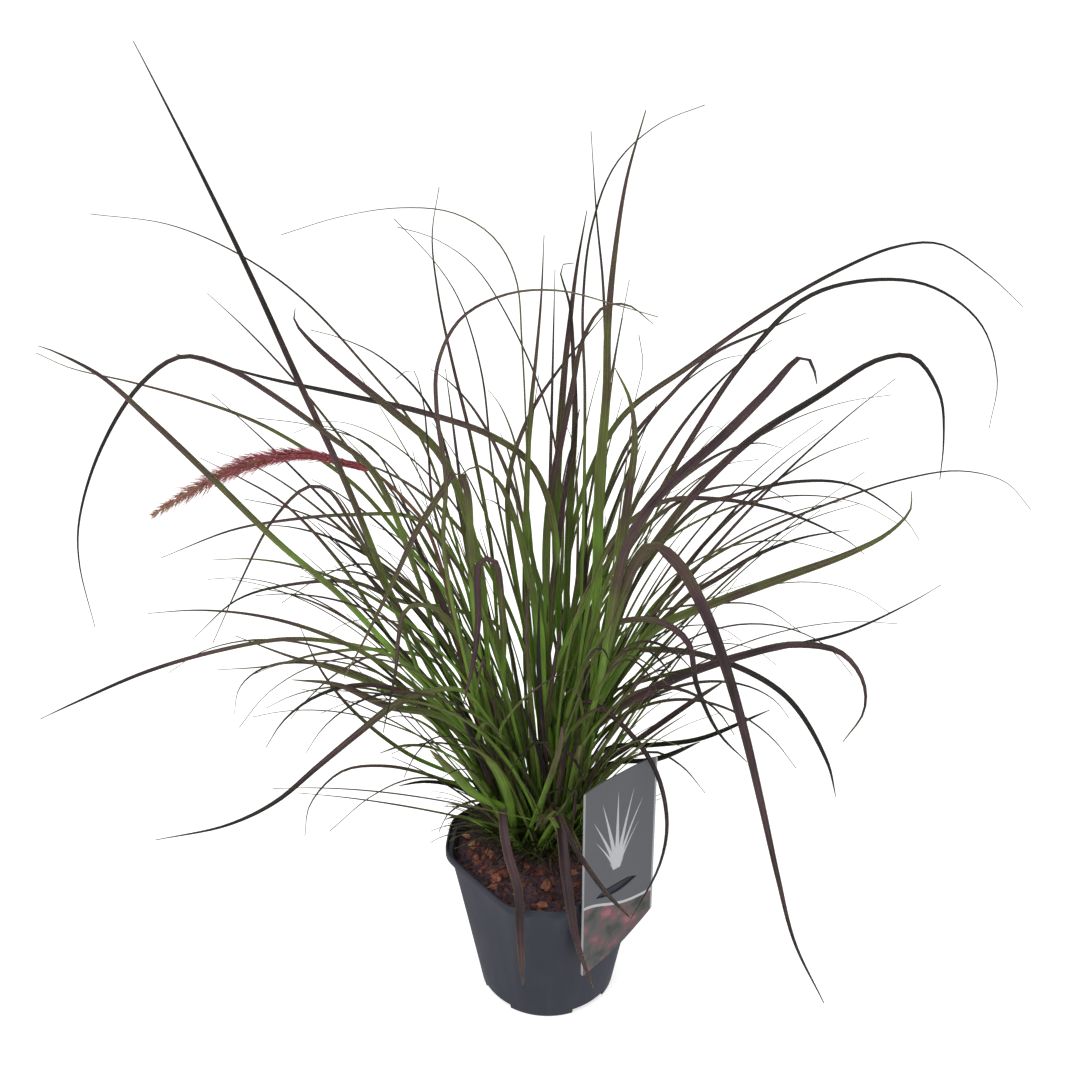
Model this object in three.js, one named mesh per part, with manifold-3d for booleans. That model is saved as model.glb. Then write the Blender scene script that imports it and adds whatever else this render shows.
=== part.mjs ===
// Purple fountain grass in an octagonal nursery pot, with its plant label.
// Millimetres, +Z up. The origin is the centre of the pot's flat underside, the pot's four short
// facets face +X, -X, +Y and -Y, and the plant is seen from the -Y side.

import * as THREE from 'three';
import Module from 'manifold-3d';
import { mergeVertices } from 'three/addons/utils/BufferGeometryUtils.js';

const wasm = await Module();
wasm.setup();

// Driving dimensions of the pot
const POT = {
  height: 113,
  shortFacetReach: 65,
  longSideReach: 58.3,
  baseRadius: 43.5,
  wall: 1.2,
  floor: 1.6,
  edge: 1,
  ledge: 3.6,
  lip: 6,
  cornerSharpness: 28,
};
// Bearings of the pot's outline points within each quarter turn, in degrees, closest at the corners
const POT_BEARINGS = [-12, 0, 12, 18, 31.5, 45, 58.5, 72];
const DRAIN = {
  width: 26,
  height: 4.2,
  inner: 36,
  outer: 60,
  wall: 1.2,
  slot: { width: 9, height: 1.8, depth: 6 },
};
const FLOOR_HOLE = { radius: 3.2, reach: 21, sides: 12 };
const RECESS = { across: 16, low: 78, high: 92, width: 4, depth: 0.6 };
const GAP = 0.3;
const SIMPLIFY = 0.03;

// Driving dimensions of the soil and of the bark chips in it
const SOIL = { edge: 102.5, mound: 3, moundRadius: 29, slope: 22, rough: 1.2, sides: 18 };
// Distances from the crown's centre at which the soil's surface bends
const SOIL_RADII = [92, 74, 58, 44, 29];
const CHIP = { slim: 0.6, thick: 0.34, vary: 0.35, tilt: 0.5, sunk: 0.4, seed: 700 };

// Driving dimensions of the plant label
const LABEL = {
  width: 58,
  bottom: 54,
  bottomRight: 80,
  top: 203,
  centre: 6.5,
  thick: 0.8,
  corner: 4,
  tongueRise: 3,
  bow: 5,
  bowStep: 24,
  lens: { width: 34, height: 9, middle: 112.5 },
  hook: { width: 20, drop: 4.6 },
};

// Driving dimensions of the grass
const CROWN = { x: -5, y: 21, radius: 27, reach: 120, stems: 48, goldenTurn: 137.508 };
const STEM = { half: 1.75, lift: 0.95, keel: 1.75, depth: 12, collar: 2.5, opening: 0.1 };
const BLADE = {
  root: 0.42,
  widest: 0.34,
  taper: 1.5,
  tipWidth: 0.7,
  tipKeel: 0.5,
  keel: 0.85,
  fold: 0.22,
  rim: 0.15,
  leastRoot: 1.7,
  carried: 0.35,
};
const STATIONS = {
  drawn: { length: 62, bend: 0.5, least: 4, most: 12 },
  filling: { length: 72, bend: 0.55, least: 4, most: 7 },
};
// How a blade finds its way past the others: changes of its tip's depth, other roots, other hosts
const DEPTH_TRIES = { step: 6, each: 16 };
const ROOTS_TRIED = 6;
const HOSTS_TRIED = 14;
// Clearances of the blades: how far under its first pixel one is joined, over the soil, off the ground
const JOINED_BELOW = 14;
const OVER_SOIL = 2.5;
const STRAND_FLOOR = 3;
// Share of a foot's depth in that of its tip, and how far blades turn to face the viewer
const FOOT_DEPTH = 0.3;
const FACING = { drawn: 0.7, filling: 0.25 };
const FILL = {
  perStem: 3,
  seed: 41000,
  attempts: 40,
  lowest: 0.45,
  highest: 0.98,
  short: 150,
  long: 300,
  frontCut: 0.45,
  narrow: 1.8,
  wide: 5.6,
  part: 0.25,
  leastPart: 0.1,
  leave: 0.6,
  leastDroop: 0.2,
  mostDroop: 2.3,
  sweep: 0.9,
  side: 0.25,
  scatter: 1.6,
  leaves: 0.3,
  steps: 10,
  slimness: 1.4,
  roll: 2.2,
  lowestTip: 135,
  lowestSeen: 800,
};
const CULM = { base: 1.9, top: 1, sides: 6, steps: 9 };
const SPIKE = { foot: 0.7, core: 1.6, end: 0.985, sides: 5, steps: 10, seed: 5100 };
const BRISTLE = { count: 130, first: 0.02, last: 0.97, length: 8.5, width: 1, splay: 0.75, vary: 0.3 };

// The photograph's camera, which turns a pixel of its 1080 px frame into a line of sight
const SIGHT = { focal: 1950, middle: 540, turn: 6, pitch: 32.6, back: 950, height: 950, left: 5 };
const turn = THREE.MathUtils.degToRad(SIGHT.turn);
const pitch = THREE.MathUtils.degToRad(SIGHT.pitch);
const UP = new THREE.Vector3(0, 0, 1);
const RIGHT = new THREE.Vector3(Math.cos(turn), Math.sin(turn), 0);
const LEVEL = new THREE.Vector3(-Math.sin(turn), Math.cos(turn), 0);
const AHEAD = LEVEL.clone().multiplyScalar(Math.cos(pitch)).addScaledVector(UP, -Math.sin(pitch));
const ABOVE = LEVEL.clone().multiplyScalar(Math.sin(pitch)).addScaledVector(UP, Math.cos(pitch));
const EYE = LEVEL.clone().multiplyScalar(-SIGHT.back).addScaledVector(RIGHT, -SIGHT.left);
EYE.z = SIGHT.height;

function lineOfSight([px, py]) {
  const across = (px - SIGHT.middle) / SIGHT.focal;
  const down = (py - SIGHT.middle) / SIGHT.focal;
  return AHEAD.clone().addScaledVector(RIGHT, across).addScaledVector(ABOVE, -down);
}

// The point seen at a pixel, at a depth measured level from the pot's axis, away from the camera
function seenAtDepth(pixel, depth) {
  const ray = lineOfSight(pixel);
  return EYE.clone().addScaledVector(ray, (depth - EYE.dot(LEVEL)) / ray.dot(LEVEL));
}

function seenAtHeight(pixel, height) {
  const ray = lineOfSight(pixel);
  return EYE.clone().addScaledVector(ray, (height - EYE.z) / ray.z);
}

function pixelOf(point) {
  const from = point.clone().sub(EYE);
  const scale = SIGHT.focal / from.dot(AHEAD);
  return [SIGHT.middle + scale * from.dot(RIGHT), SIGHT.middle - scale * from.dot(ABOVE)];
}

function seededRandom(seed) {
  let state = seed >>> 0;
  return () => {
    state = (state + 0x6d2b79f5) >>> 0;
    let mixed = Math.imul(state ^ (state >>> 15), state | 1);
    mixed ^= mixed + Math.imul(mixed ^ (mixed >>> 7), mixed | 61);
    return ((mixed ^ (mixed >>> 14)) >>> 0) / 4294967296;
  };
}

// Solids

function solidFromTriangles(positions, indices) {
  return new wasm.Manifold(new wasm.Mesh({
    numProp: 3,
    vertProperties: new Float32Array(positions),
    triVerts: new Uint32Array(indices),
  }));
}

function solidFromGeometry(geometry) {
  const plain = geometry.clone();
  plain.deleteAttribute('normal');
  plain.deleteAttribute('uv');
  const merged = mergeVertices(plain, 1e-4);
  return solidFromTriangles(merged.attributes.position.array, merged.index.array);
}

// A closed solid through rings with equal counts of points, each ring anticlockwise seen from its end
function loft(rings) {
  const count = rings[0].length;
  const positions = rings.flat().flatMap((point) => point.toArray());
  const indices = [];
  for (let ring = 0; ring + 1 < rings.length; ring += 1) {
    for (let side = 0; side < count; side += 1) {
      const here = ring * count + side;
      const next = ring * count + (side + 1) % count;
      indices.push(here, next, next + count, here, next + count, here + count);
    }
  }
  const last = (rings.length - 1) * count;
  for (let side = 1; side + 1 < count; side += 1) {
    indices.push(0, side + 1, side);
    indices.push(last, last + side, last + side + 1);
  }
  return solidFromTriangles(positions, indices);
}

function box(width, depth, height, place, turned = 0) {
  const geometry = new THREE.BoxGeometry(width, depth, height);
  geometry.translate(place.x, place.y, place.z);
  geometry.rotateZ(turned);
  return solidFromGeometry(geometry);
}

function largestPart(solid) {
  return solid.decompose().sort((first, second) => second.volume() - first.volume())[0];
}

function meshFromSolid(name, solid, colour, roughness, metalness = 0) {
  const made = solid.simplify(SIMPLIFY).getMesh();
  const geometry = new THREE.BufferGeometry();
  geometry.setAttribute('position', new THREE.BufferAttribute(new Float32Array(made.vertProperties), 3));
  geometry.setIndex(new THREE.BufferAttribute(new Uint32Array(made.triVerts), 1));
  geometry.computeVertexNormals();
  const mesh = new THREE.Mesh(geometry, new THREE.MeshStandardMaterial({
    color: colour,
    roughness,
    metalness,
    flatShading: true,
  }));
  mesh.name = name;
  return mesh;
}

// Pot

// The octagon's outline as a distance from the axis, with its corners slightly rounded
function octagonRadius(angle, inset) {
  let sum = 0;
  for (let facet = 0; facet < 8; facet += 1) {
    const reach = (facet % 2 === 0 ? POT.shortFacetReach : POT.longSideReach) - inset;
    const facing = Math.max(0, Math.cos(angle - facet * Math.PI / 4));
    sum += (facing / reach) ** POT.cornerSharpness;
  }
  return sum ** (-1 / POT.cornerSharpness);
}

// The wall turns from a circle at the base to the octagon under the rim
function potRing(z, inset) {
  const rise = THREE.MathUtils.clamp(z / (POT.height - POT.lip), 0, 1);
  const ring = [];
  for (let point = 0; point < 4 * POT_BEARINGS.length; point += 1) {
    const quarter = Math.floor(point / POT_BEARINGS.length) * 90;
    const angle = THREE.MathUtils.degToRad(quarter + POT_BEARINGS[point % POT_BEARINGS.length]);
    const radius = THREE.MathUtils.lerp(POT.baseRadius, octagonRadius(angle, POT.ledge), rise) - inset;
    ring.push(new THREE.Vector3(radius * Math.cos(angle), radius * Math.sin(angle), z));
  }
  return ring;
}

function potCavity(extra) {
  const inset = POT.wall + extra;
  const stepUp = POT.height - POT.lip + POT.wall + extra;
  const wallTop = potRing(POT.height - POT.lip, inset);
  const lift = (ring, z) => ring.map((point) => new THREE.Vector3(point.x, point.y, z));
  const lipInside = potRing(POT.height, inset - POT.ledge);
  return loft([
    potRing(POT.floor + extra, inset),
    wallTop,
    lift(wallTop, stepUp),
    lift(lipInside, stepUp),
    lift(lipInside, POT.height + 2),
  ]);
}

function drainBlocks(extra) {
  const blocks = [];
  for (let corner = 0; corner < 4; corner += 1) {
    const inner = DRAIN.inner - DRAIN.wall - extra;
    const high = DRAIN.height + DRAIN.wall + extra;
    const wide = DRAIN.width + 2 * (DRAIN.wall + extra);
    const place = new THREE.Vector3((inner + DRAIN.outer) / 2, 0, high / 2);
    blocks.push(box(DRAIN.outer - inner, wide, high, place, Math.PI / 4 + corner * Math.PI / 2));
  }
  return wasm.Manifold.union(blocks);
}

function potSolid() {
  const wallTop = POT.height - POT.lip;
  const outside = loft([
    potRing(0, POT.edge),
    potRing(POT.edge, 0),
    potRing(wallTop, 0),
    potRing(wallTop, -POT.ledge),
    potRing(POT.height, -POT.ledge).map((point) => point.setZ(POT.height - POT.edge / 2)),
    potRing(POT.height, POT.edge / 2 - POT.ledge),
  ]);
  let pot = outside.subtract(potCavity(0).subtract(drainBlocks(0)));
  for (let corner = 0; corner < 4; corner += 1) {
    const facing = Math.PI / 4 + corner * Math.PI / 2;
    const { slot } = DRAIN;
    const channel = new THREE.Vector3((DRAIN.inner + DRAIN.outer) / 2, 0, DRAIN.height / 2 - POT.floor);
    const length = DRAIN.outer - DRAIN.inner;
    pot = pot.subtract(box(length, DRAIN.width, DRAIN.height + 2 * POT.floor, channel, facing));
    const slotPlace = new THREE.Vector3(DRAIN.inner, 0, slot.height / 2 + POT.floor);
    pot = pot.subtract(box(slot.depth, slot.width, slot.height, slotPlace, facing));
    const { radius, sides } = FLOOR_HOLE;
    const hole = new THREE.CylinderGeometry(radius, radius, 4 * POT.floor, sides);
    hole.rotateX(Math.PI / 2);
    hole.translate(FLOOR_HOLE.reach, 0, 0);
    hole.rotateZ(corner * Math.PI / 2);
    pot = pot.subtract(solidFromGeometry(hole));
  }
  const recessHeight = RECESS.high - RECESS.low;
  const level = (RECESS.low + RECESS.high) / 2;
  const front = potRing(level, 0)[3 * POT_BEARINGS.length + 1];
  const recess = new THREE.Vector3(RECESS.across, front.y + RECESS.depth - RECESS.width / 2, level);
  return pot.subtract(box(RECESS.width, RECESS.width, recessHeight, recess));
}

// Soil

// Level where the stems stand, and lumpy and lower beyond the crown
function soilHeight(x, y) {
  const beyondCrown = Math.hypot(x - CROWN.x, y - CROWN.y) - SOIL.moundRadius;
  const slope = THREE.MathUtils.smoothstep(beyondCrown, 0, SOIL.slope);
  const lumps = Math.sin(x * 0.31 + 1.2) * Math.sin(y * 0.27 - 0.4) + 0.6 * Math.sin(x * 0.53 - y * 0.47);
  return SOIL.edge + SOIL.mound * (1 - slope) + SOIL.rough * lumps * slope;
}

function soilUnderSurface() {
  const rings = [];
  const lowest = [];
  SOIL_RADII.forEach((radius, step) => {
    const ring = [];
    for (let side = 0; side < SOIL.sides; side += 1) {
      const angle = side / SOIL.sides * Math.PI * 2;
      const x = CROWN.x + radius * Math.cos(angle);
      const y = CROWN.y + radius * Math.sin(angle);
      ring.push(new THREE.Vector3(x, y, soilHeight(x, y)));
      if (step === 0) lowest.push(new THREE.Vector3(x, y, 0));
    }
    rings.push(ring);
  });
  return loft([lowest, ...rings]);
}

// Bark chips: the pixel where the photograph shows each one, its turn in degrees and its length
const BARK_CHIPS = [
  { seen: [475, 856], turned: 120, long: 11 },
  { seen: [495, 873], turned: 170, long: 12 },
  { seen: [548, 884], turned: 75, long: 16 },
  { seen: [542, 904], turned: 10, long: 10 },
  { seen: [466, 836], turned: 150, long: 9 },
  { seen: [517, 893], turned: 35, long: 8 },
];

function chipSolid(chip, index, grown) {
  const random = seededRandom(CHIP.seed + index);
  const geometry = new THREE.IcosahedronGeometry(1, 0);
  const size = () => 1 + CHIP.vary * (random() - 0.5);
  const place = seenAtHeight(chip.seen, SOIL.edge);
  const length = chip.long / 2;
  const width = length * CHIP.slim * size();
  const thick = length * CHIP.thick * size();
  geometry.scale(length + grown, width + grown, thick + grown);
  geometry.rotateX((random() - 0.5) * CHIP.tilt);
  geometry.rotateZ(THREE.MathUtils.degToRad(chip.turned));
  const height = soilHeight(place.x, place.y) + thick * (1 - 2 * CHIP.sunk);
  geometry.translate(place.x, place.y, height);
  return solidFromGeometry(geometry);
}

// Label

// A card that stands outside one long side of the rim. It bows outwards to its long edges, its foot is
// a tongue, and a flap cut from its lens-shaped opening hooks over the rim.
function labelSolid() {
  const half = LABEL.width / 2;
  const card = new THREE.Shape();
  card.moveTo(-half, LABEL.top);
  card.lineTo(-half, LABEL.bottom + LABEL.corner);
  card.quadraticCurveTo(-half, LABEL.bottom, -half + LABEL.corner, LABEL.bottom);
  card.quadraticCurveTo(half / 3, LABEL.bottom + LABEL.tongueRise, half, LABEL.bottomRight);
  card.lineTo(half, LABEL.top);
  const lens = new THREE.Path();
  const { width, height, middle } = LABEL.lens;
  lens.moveTo(-width / 2, middle);
  lens.quadraticCurveTo(0, middle - height, width / 2, middle);
  lens.quadraticCurveTo(0, middle + height, -width / 2, middle);
  card.holes.push(lens);
  const geometry = new THREE.ExtrudeGeometry(card, {
    depth: LABEL.thick,
    bevelEnabled: false,
    curveSegments: 6,
  });
  let flat = solidFromGeometry(geometry);
  const flapUnder = POT.height + GAP;
  const flapTop = middle + height / 2 + 1;
  const flapReach = POT.wall + 2 * GAP + LABEL.thick * 2;
  const over = new THREE.Vector3(0, (flapUnder + flapTop) / 2, LABEL.thick - flapReach / 2);
  flat = flat.add(box(LABEL.hook.width, flapTop - flapUnder, flapReach, over));
  const down = LABEL.hook.drop + GAP;
  const inside = new THREE.Vector3(0, flapUnder - LABEL.hook.drop + down / 2, LABEL.thick * 1.5 - flapReach);
  flat = flat.add(box(LABEL.hook.width, down, LABEL.thick, inside));
  const stood = flat.refineToLength(LABEL.bowStep).warp((point) => {
    const [x, y, z] = point;
    const bow = LABEL.bow * Math.max(0, (Math.abs(x) - LABEL.hook.width / 2) / half) ** 2;
    point[0] = x + LABEL.centre;
    point[1] = -(POT.longSideReach + GAP + z + bow);
    point[2] = y;
  });
  return stood.rotate([0, 0, 45]);
}

// Grass: centre lines and sections

function smoothPath(points) {
  return new THREE.CatmullRomCurve3(points, false, 'centripetal');
}

// Stations on a curve, closer together where it bends
function stationsAlong(curve, from, spacing) {
  const fine = [];
  const steps = 96;
  for (let step = 0; step <= steps; step += 1) {
    fine.push(curve.getPointAt(THREE.MathUtils.clamp(from + (1 - from) * step / steps, 0, 1)));
  }
  const cost = [0];
  for (let step = 1; step <= steps; step += 1) {
    const chord = fine[step].clone().sub(fine[step - 1]);
    const before = step > 1 ? fine[step - 1].clone().sub(fine[step - 2]) : chord;
    const bend = chord.angleTo(before) / spacing.bend;
    cost.push(cost[step - 1] + chord.length() / spacing.length + bend);
  }
  const count = THREE.MathUtils.clamp(Math.round(cost[steps]), spacing.least, spacing.most);
  const stations = [];
  let step = 1;
  for (let station = 0; station <= count; station += 1) {
    const wanted = cost[steps] * station / count;
    while (step < steps && cost[step] < wanted) step += 1;
    const share = THREE.MathUtils.clamp((wanted - cost[step - 1]) / (cost[step] - cost[step - 1]), 0, 1);
    stations.push({
      point: fine[step - 1].clone().lerp(fine[step], share),
      along: (step - 1 + share) / steps,
    });
  }
  return stations;
}

function bladeWidth(width, along) {
  const root = Math.max(BLADE.root, Math.min(1, BLADE.leastRoot / width));
  const opening = THREE.MathUtils.clamp(along / BLADE.widest, 0, 1);
  const open = root + (1 - root) * Math.sin(opening * Math.PI / 2);
  const closing = THREE.MathUtils.clamp((along - BLADE.widest) / (1 - BLADE.widest), 0, 1);
  return Math.max(BLADE.tipWidth, width * open * (1 - closing ** BLADE.taper));
}

// A triangle across the strand: two edges above, the midrib below. Below the foot it is a stem, and
// above it opens into a shallow folded blade.
function strandSection(strand, along) {
  const bladeAlong = (along - strand.foot) / (1 - strand.foot);
  const opened = THREE.MathUtils.smoothstep(bladeAlong, -STEM.opening, STEM.opening);
  const stemness = strand.foot > 0 ? 1 - opened : 0;
  const half = bladeWidth(strand.width, bladeAlong) / 2;
  const keel = THREE.MathUtils.lerp(BLADE.keel, BLADE.tipKeel, THREE.MathUtils.clamp(bladeAlong, 0, 1));
  return {
    half: THREE.MathUtils.lerp(half, STEM.half, stemness),
    lift: THREE.MathUtils.lerp(half * BLADE.fold + BLADE.rim, STEM.lift, stemness),
    keel: THREE.MathUtils.lerp(keel, STEM.keel, stemness),
  };
}

function strandSolid(strand, grown) {
  const { stations, tangents, breadths } = strand;
  const rings = stations.map((station, index) => {
    const tangent = tangents[index];
    const across = breadths[index];
    const face = tangent.clone().cross(across);
    const { half, lift, keel } = strandSection(strand, station.along);
    const end = index === 0 ? -grown : index === stations.length - 1 ? grown : 0;
    const middle = station.point.clone().addScaledVector(tangent, end);
    const above = middle.clone().addScaledVector(face, lift + grown);
    return [
      above.clone().addScaledVector(across, half + grown * 1.7),
      above.clone().addScaledVector(across, -half - grown * 1.7),
      middle.clone().addScaledVector(face, -keel - grown * 1.3),
    ];
  });
  return loft(rings);
}

function squareTo(tangent, vector) {
  return vector.clone().addScaledVector(tangent, -vector.dot(tangent)).normalize();
}

// The blade's breadth lies level across its arch and turns partly to face a viewer. It is carried on
// from station to station, so that it never flips.
function breadthsAlong(stations, tangents, facing, roll) {
  const bearing = stations[stations.length - 1].point.clone().sub(stations[0].point).setZ(0);
  if (bearing.length() < 5) bearing.copy(RIGHT);
  const level = UP.clone().cross(bearing).normalize();
  let carried = level;
  return stations.map((station, index) => {
    const tangent = tangents[index];
    carried = squareTo(tangent, carried);
    const flat = level.clone().addScaledVector(tangent, -level.dot(tangent));
    const seen = tangent.clone().cross(station.point.clone().sub(EYE)).normalize();
    if (flat.dot(carried) < 0) flat.negate();
    if (seen.dot(carried) < 0) seen.negate();
    const wanted = flat.multiplyScalar(1 - facing).addScaledVector(seen, facing);
    carried.multiplyScalar(BLADE.carried).addScaledVector(wanted, 1 - BLADE.carried);
    carried = squareTo(tangent, carried);
    return carried.clone().applyAxisAngle(tangent, roll * (1 - station.along));
  });
}

// Blades drawn from the photograph. Each has its greatest width in millimetres, the depth of its tip in
// millimetres away from the camera, and the pixels that its midrib passes from low on the plant to its tip.
const DRAWN_BLADES = [
  { name: 'great_fall_right', wide: 7.2, depth: -130,
    path: [[596, 700], [615, 620], [638, 560], [653, 546], [678, 564], [704, 609], [726, 667], [745, 733],
      [762, 805], [778, 877], [795, 943], [824, 1003]] },
  { name: 'broad_dark_right', wide: 6.8, depth: -45,
    path: [[560, 770], [605, 720], [643, 695], [691, 673], [747, 655], [795, 645], [840, 652], [863, 680],
      [864, 712], [843, 742]] },
  { name: 'olive_right', wide: 4.9, depth: 0,
    path: [[585, 735], [620, 670], [657, 629], [719, 602], [788, 576], [850, 553], [888, 533], [910, 510],
      [911, 491]] },
  { name: 'loop_right', wide: 3.6, depth: -60,
    path: [[575, 690], [600, 640], [619, 623], [660, 622], [688, 642], [697, 685], [719, 733], [747, 762]] },
  { name: 'front_fall', wide: 6.2, depth: -96, early: 0.6,
    path: [[549, 820], [556, 806], [561, 826], [566, 877], [571, 912], [578, 946], [593, 988]] },
  { name: 'front_fall_left', wide: 4.6, depth: -94, early: 0.6,
    path: [[505, 828], [503, 809], [503, 822], [508, 854], [518, 889], [520, 930], [523, 985]] },
  { name: 'over_label', wide: 2.4, depth: -104, early: 0.6,
    path: [[551, 815], [558, 812], [574, 846], [602, 888], [631, 919]] },
  { name: 'green_front', wide: 4.8, depth: -60, early: 0.8,
    path: [[520, 826], [510, 811], [478, 797], [455, 775], [430, 750]] },
  { name: 'dry_front', wide: 4, depth: -52, early: 0.7,
    path: [[543, 824], [557, 807], [567, 822], [575, 838], [583, 852]] },
  { name: 'purple_fall', wide: 4, depth: -70,
    path: [[484, 690], [471, 566], [466, 488], [457, 471], [441, 493], [416, 533], [396, 576], [366, 637],
      [344, 678]] },
  { name: 'purple_hanging', wide: 3.6, depth: -60,
    path: [[482, 715], [462, 640], [430, 607], [406, 609], [398, 640], [396, 667], [383, 733]] },
  { name: 'low_left_purple', wide: 4.6, depth: -55,
    path: [[475, 745], [441, 717], [389, 707], [337, 685], [292, 680]] },
  { name: 'purple_strip', wide: 4.6, depth: -45,
    path: [[505, 700], [502, 610], [492, 560], [480, 562], [478, 620], [473, 664], [463, 705]] },
  { name: 'purple_hoop', wide: 2.6, depth: -30,
    path: [[470, 680], [444, 548], [446, 480], [437, 413], [438, 364], [462, 318], [509, 294], [560, 291],
      [616, 305], [658, 317]] },
  { name: 'tall_left', wide: 4.6, depth: -20,
    path: [[436, 712], [398, 616], [371, 546], [341, 473], [300, 385], [250, 275], [200, 172], [143, 60],
      [133, 41]] },
  { name: 'far_left_low', wide: 3.4, depth: -70,
    path: [[446, 712], [403, 664], [340, 596], [280, 545], [210, 477], [150, 420], [100, 376], [50, 350],
      [38, 346]] },
  { name: 'far_left_high', wide: 3.2, depth: 45,
    path: [[474, 690], [449, 599], [413, 553], [366, 496], [327, 464], [260, 424], [199, 401], [130, 382],
      [70, 368], [36, 353]] },
  { name: 'left_hook', wide: 4.6, depth: -35,
    path: [[452, 690], [415, 570], [371, 470], [330, 437], [266, 391], [226, 368], [182, 357], [141, 384],
      [100, 450], [79, 520], [79, 563], [95, 628]] },
  { name: 'dark_crossing', wide: 3, depth: 75,
    path: [[548, 650], [556, 540], [532, 466], [491, 436], [424, 413], [350, 396], [270, 379], [225, 367],
      [176, 354]] },
  { name: 'purple_left', wide: 4.3, depth: 40,
    path: [[492, 690], [478, 560], [440, 455], [391, 410], [341, 369], [310, 341], [294, 320], [295, 308]] },
  { name: 'thread_left', wide: 1.7, depth: 100,
    path: [[478, 640], [450, 520], [416, 430], [366, 367], [300, 297], [240, 255], [170, 225], [90, 214]] },
  { name: 'thread_arch', wide: 1.8, depth: 120,
    path: [[530, 640], [528, 500], [522, 347], [515, 276], [493, 237], [453, 213], [400, 208], [340, 217],
      [281, 235]] },
  { name: 'upright_left', wide: 1.9, depth: 70,
    path: [[505, 690], [490, 540], [471, 440], [452, 362], [438, 294], [432, 235], [439, 187]] },
  { name: 'centre_bow', wide: 1.6, depth: 110,
    path: [[560, 640], [562, 500], [545, 404], [506, 314], [472, 264], [433, 238], [397, 227]] },
  { name: 'olive_fold', wide: 6.4, depth: -10,
    path: [[545, 700], [540, 632], [530, 582], [516, 524], [499, 483], [478, 466], [462, 474]] },
  { name: 'level_left', wide: 2.6, depth: 20,
    path: [[480, 650], [455, 560], [416, 519], [350, 515], [289, 520], [233, 530], [161, 558]] },
  { name: 'straight_left', wide: 2.6, depth: 10,
    path: [[452, 715], [390, 639], [340, 564], [285, 505], [240, 478], [200, 458]] },
  { name: 'dark_arch_left', wide: 2.9, depth: 70,
    path: [[520, 700], [499, 627], [449, 609], [400, 601], [356, 583], [296, 584], [239, 599], [195, 637]] },
  { name: 'lowest_far_left', wide: 2.6, depth: -45,
    path: [[470, 735], [430, 685], [393, 657], [340, 643], [286, 639], [220, 650], [145, 672], [76, 702],
      [40, 719]] },
  { name: 'low_left_olive', wide: 2.9, depth: -15,
    path: [[450, 740], [393, 695], [331, 669], [286, 655], [236, 636]] },
  { name: 'drooping_left', wide: 4.9, depth: -90,
    path: [[492, 725], [461, 691], [434, 691], [396, 704], [358, 733], [317, 767], [275, 802], [227, 825],
      [155, 840]] },
  { name: 'centre_upright', wide: 3.5, depth: 60,
    path: [[532, 660], [526, 540], [530, 417], [536, 356], [541, 299], [544, 235]] },
  { name: 'broad_green', wide: 8, depth: 20,
    path: [[590, 720], [597, 600], [600, 480], [607, 390], [608, 331], [615, 254], [627, 178], [646, 110]] },
  { name: 'thread_right', wide: 1.8, depth: 100,
    path: [[580, 640], [584, 500], [585, 390], [583, 306], [592, 227], [616, 164], [659, 124], [705, 105]] },
  { name: 'needle_top', wide: 1.9, depth: 130,
    path: [[585, 660], [604, 480], [606, 380], [603, 283], [597, 220], [591, 131]] },
  { name: 'olive_upright', wide: 4.1, depth: 95,
    path: [[560, 660], [556, 520], [564, 377], [570, 321], [577, 266], [587, 210]] },
  { name: 'purple_upright', wide: 4.6, depth: 15,
    path: [[548, 640], [548, 520], [572, 390], [584, 337], [604, 307], [627, 305], [653, 324]] },
  { name: 'broad_olive', wide: 5.9, depth: -15,
    path: [[600, 690], [615, 600], [628, 500], [635, 440], [630, 400], [615, 368]] },
  { name: 'far_right_high', wide: 3.4, depth: 80,
    path: [[566, 640], [575, 520], [620, 420], [693, 364], [770, 310], [840, 270], [896, 247], [939, 244],
      [986, 273], [1023, 307]] },
  { name: 'right_hoop', wide: 4.1, depth: 30,
    path: [[592, 690], [620, 570], [658, 497], [700, 425], [743, 362], [800, 302], [850, 283], [923, 284],
      [979, 322], [997, 379], [989, 428]] },
  { name: 'purple_kink', wide: 5.5, depth: -15,
    path: [[600, 680], [630, 540], [665, 490], [720, 440], [765, 395], [803, 357], [812, 364], [817, 384]] },
  { name: 'dark_arc_right', wide: 5.2, depth: -55,
    path: [[596, 690], [625, 585], [655, 545], [690, 500], [750, 441], [820, 396], [879, 360], [913, 357],
      [940, 394], [944, 440], [940, 480]] },
  { name: 'far_right_thread', wide: 1.9, depth: 65,
    path: [[610, 680], [650, 610], [690, 572], [747, 538], [836, 501], [901, 480], [959, 471], [1005, 482],
      [1031, 510]] },
  { name: 'dark_level_right', wide: 3, depth: 25,
    path: [[580, 660], [610, 545], [660, 503], [712, 499], [781, 511], [846, 540], [864, 554]] },
];

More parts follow.
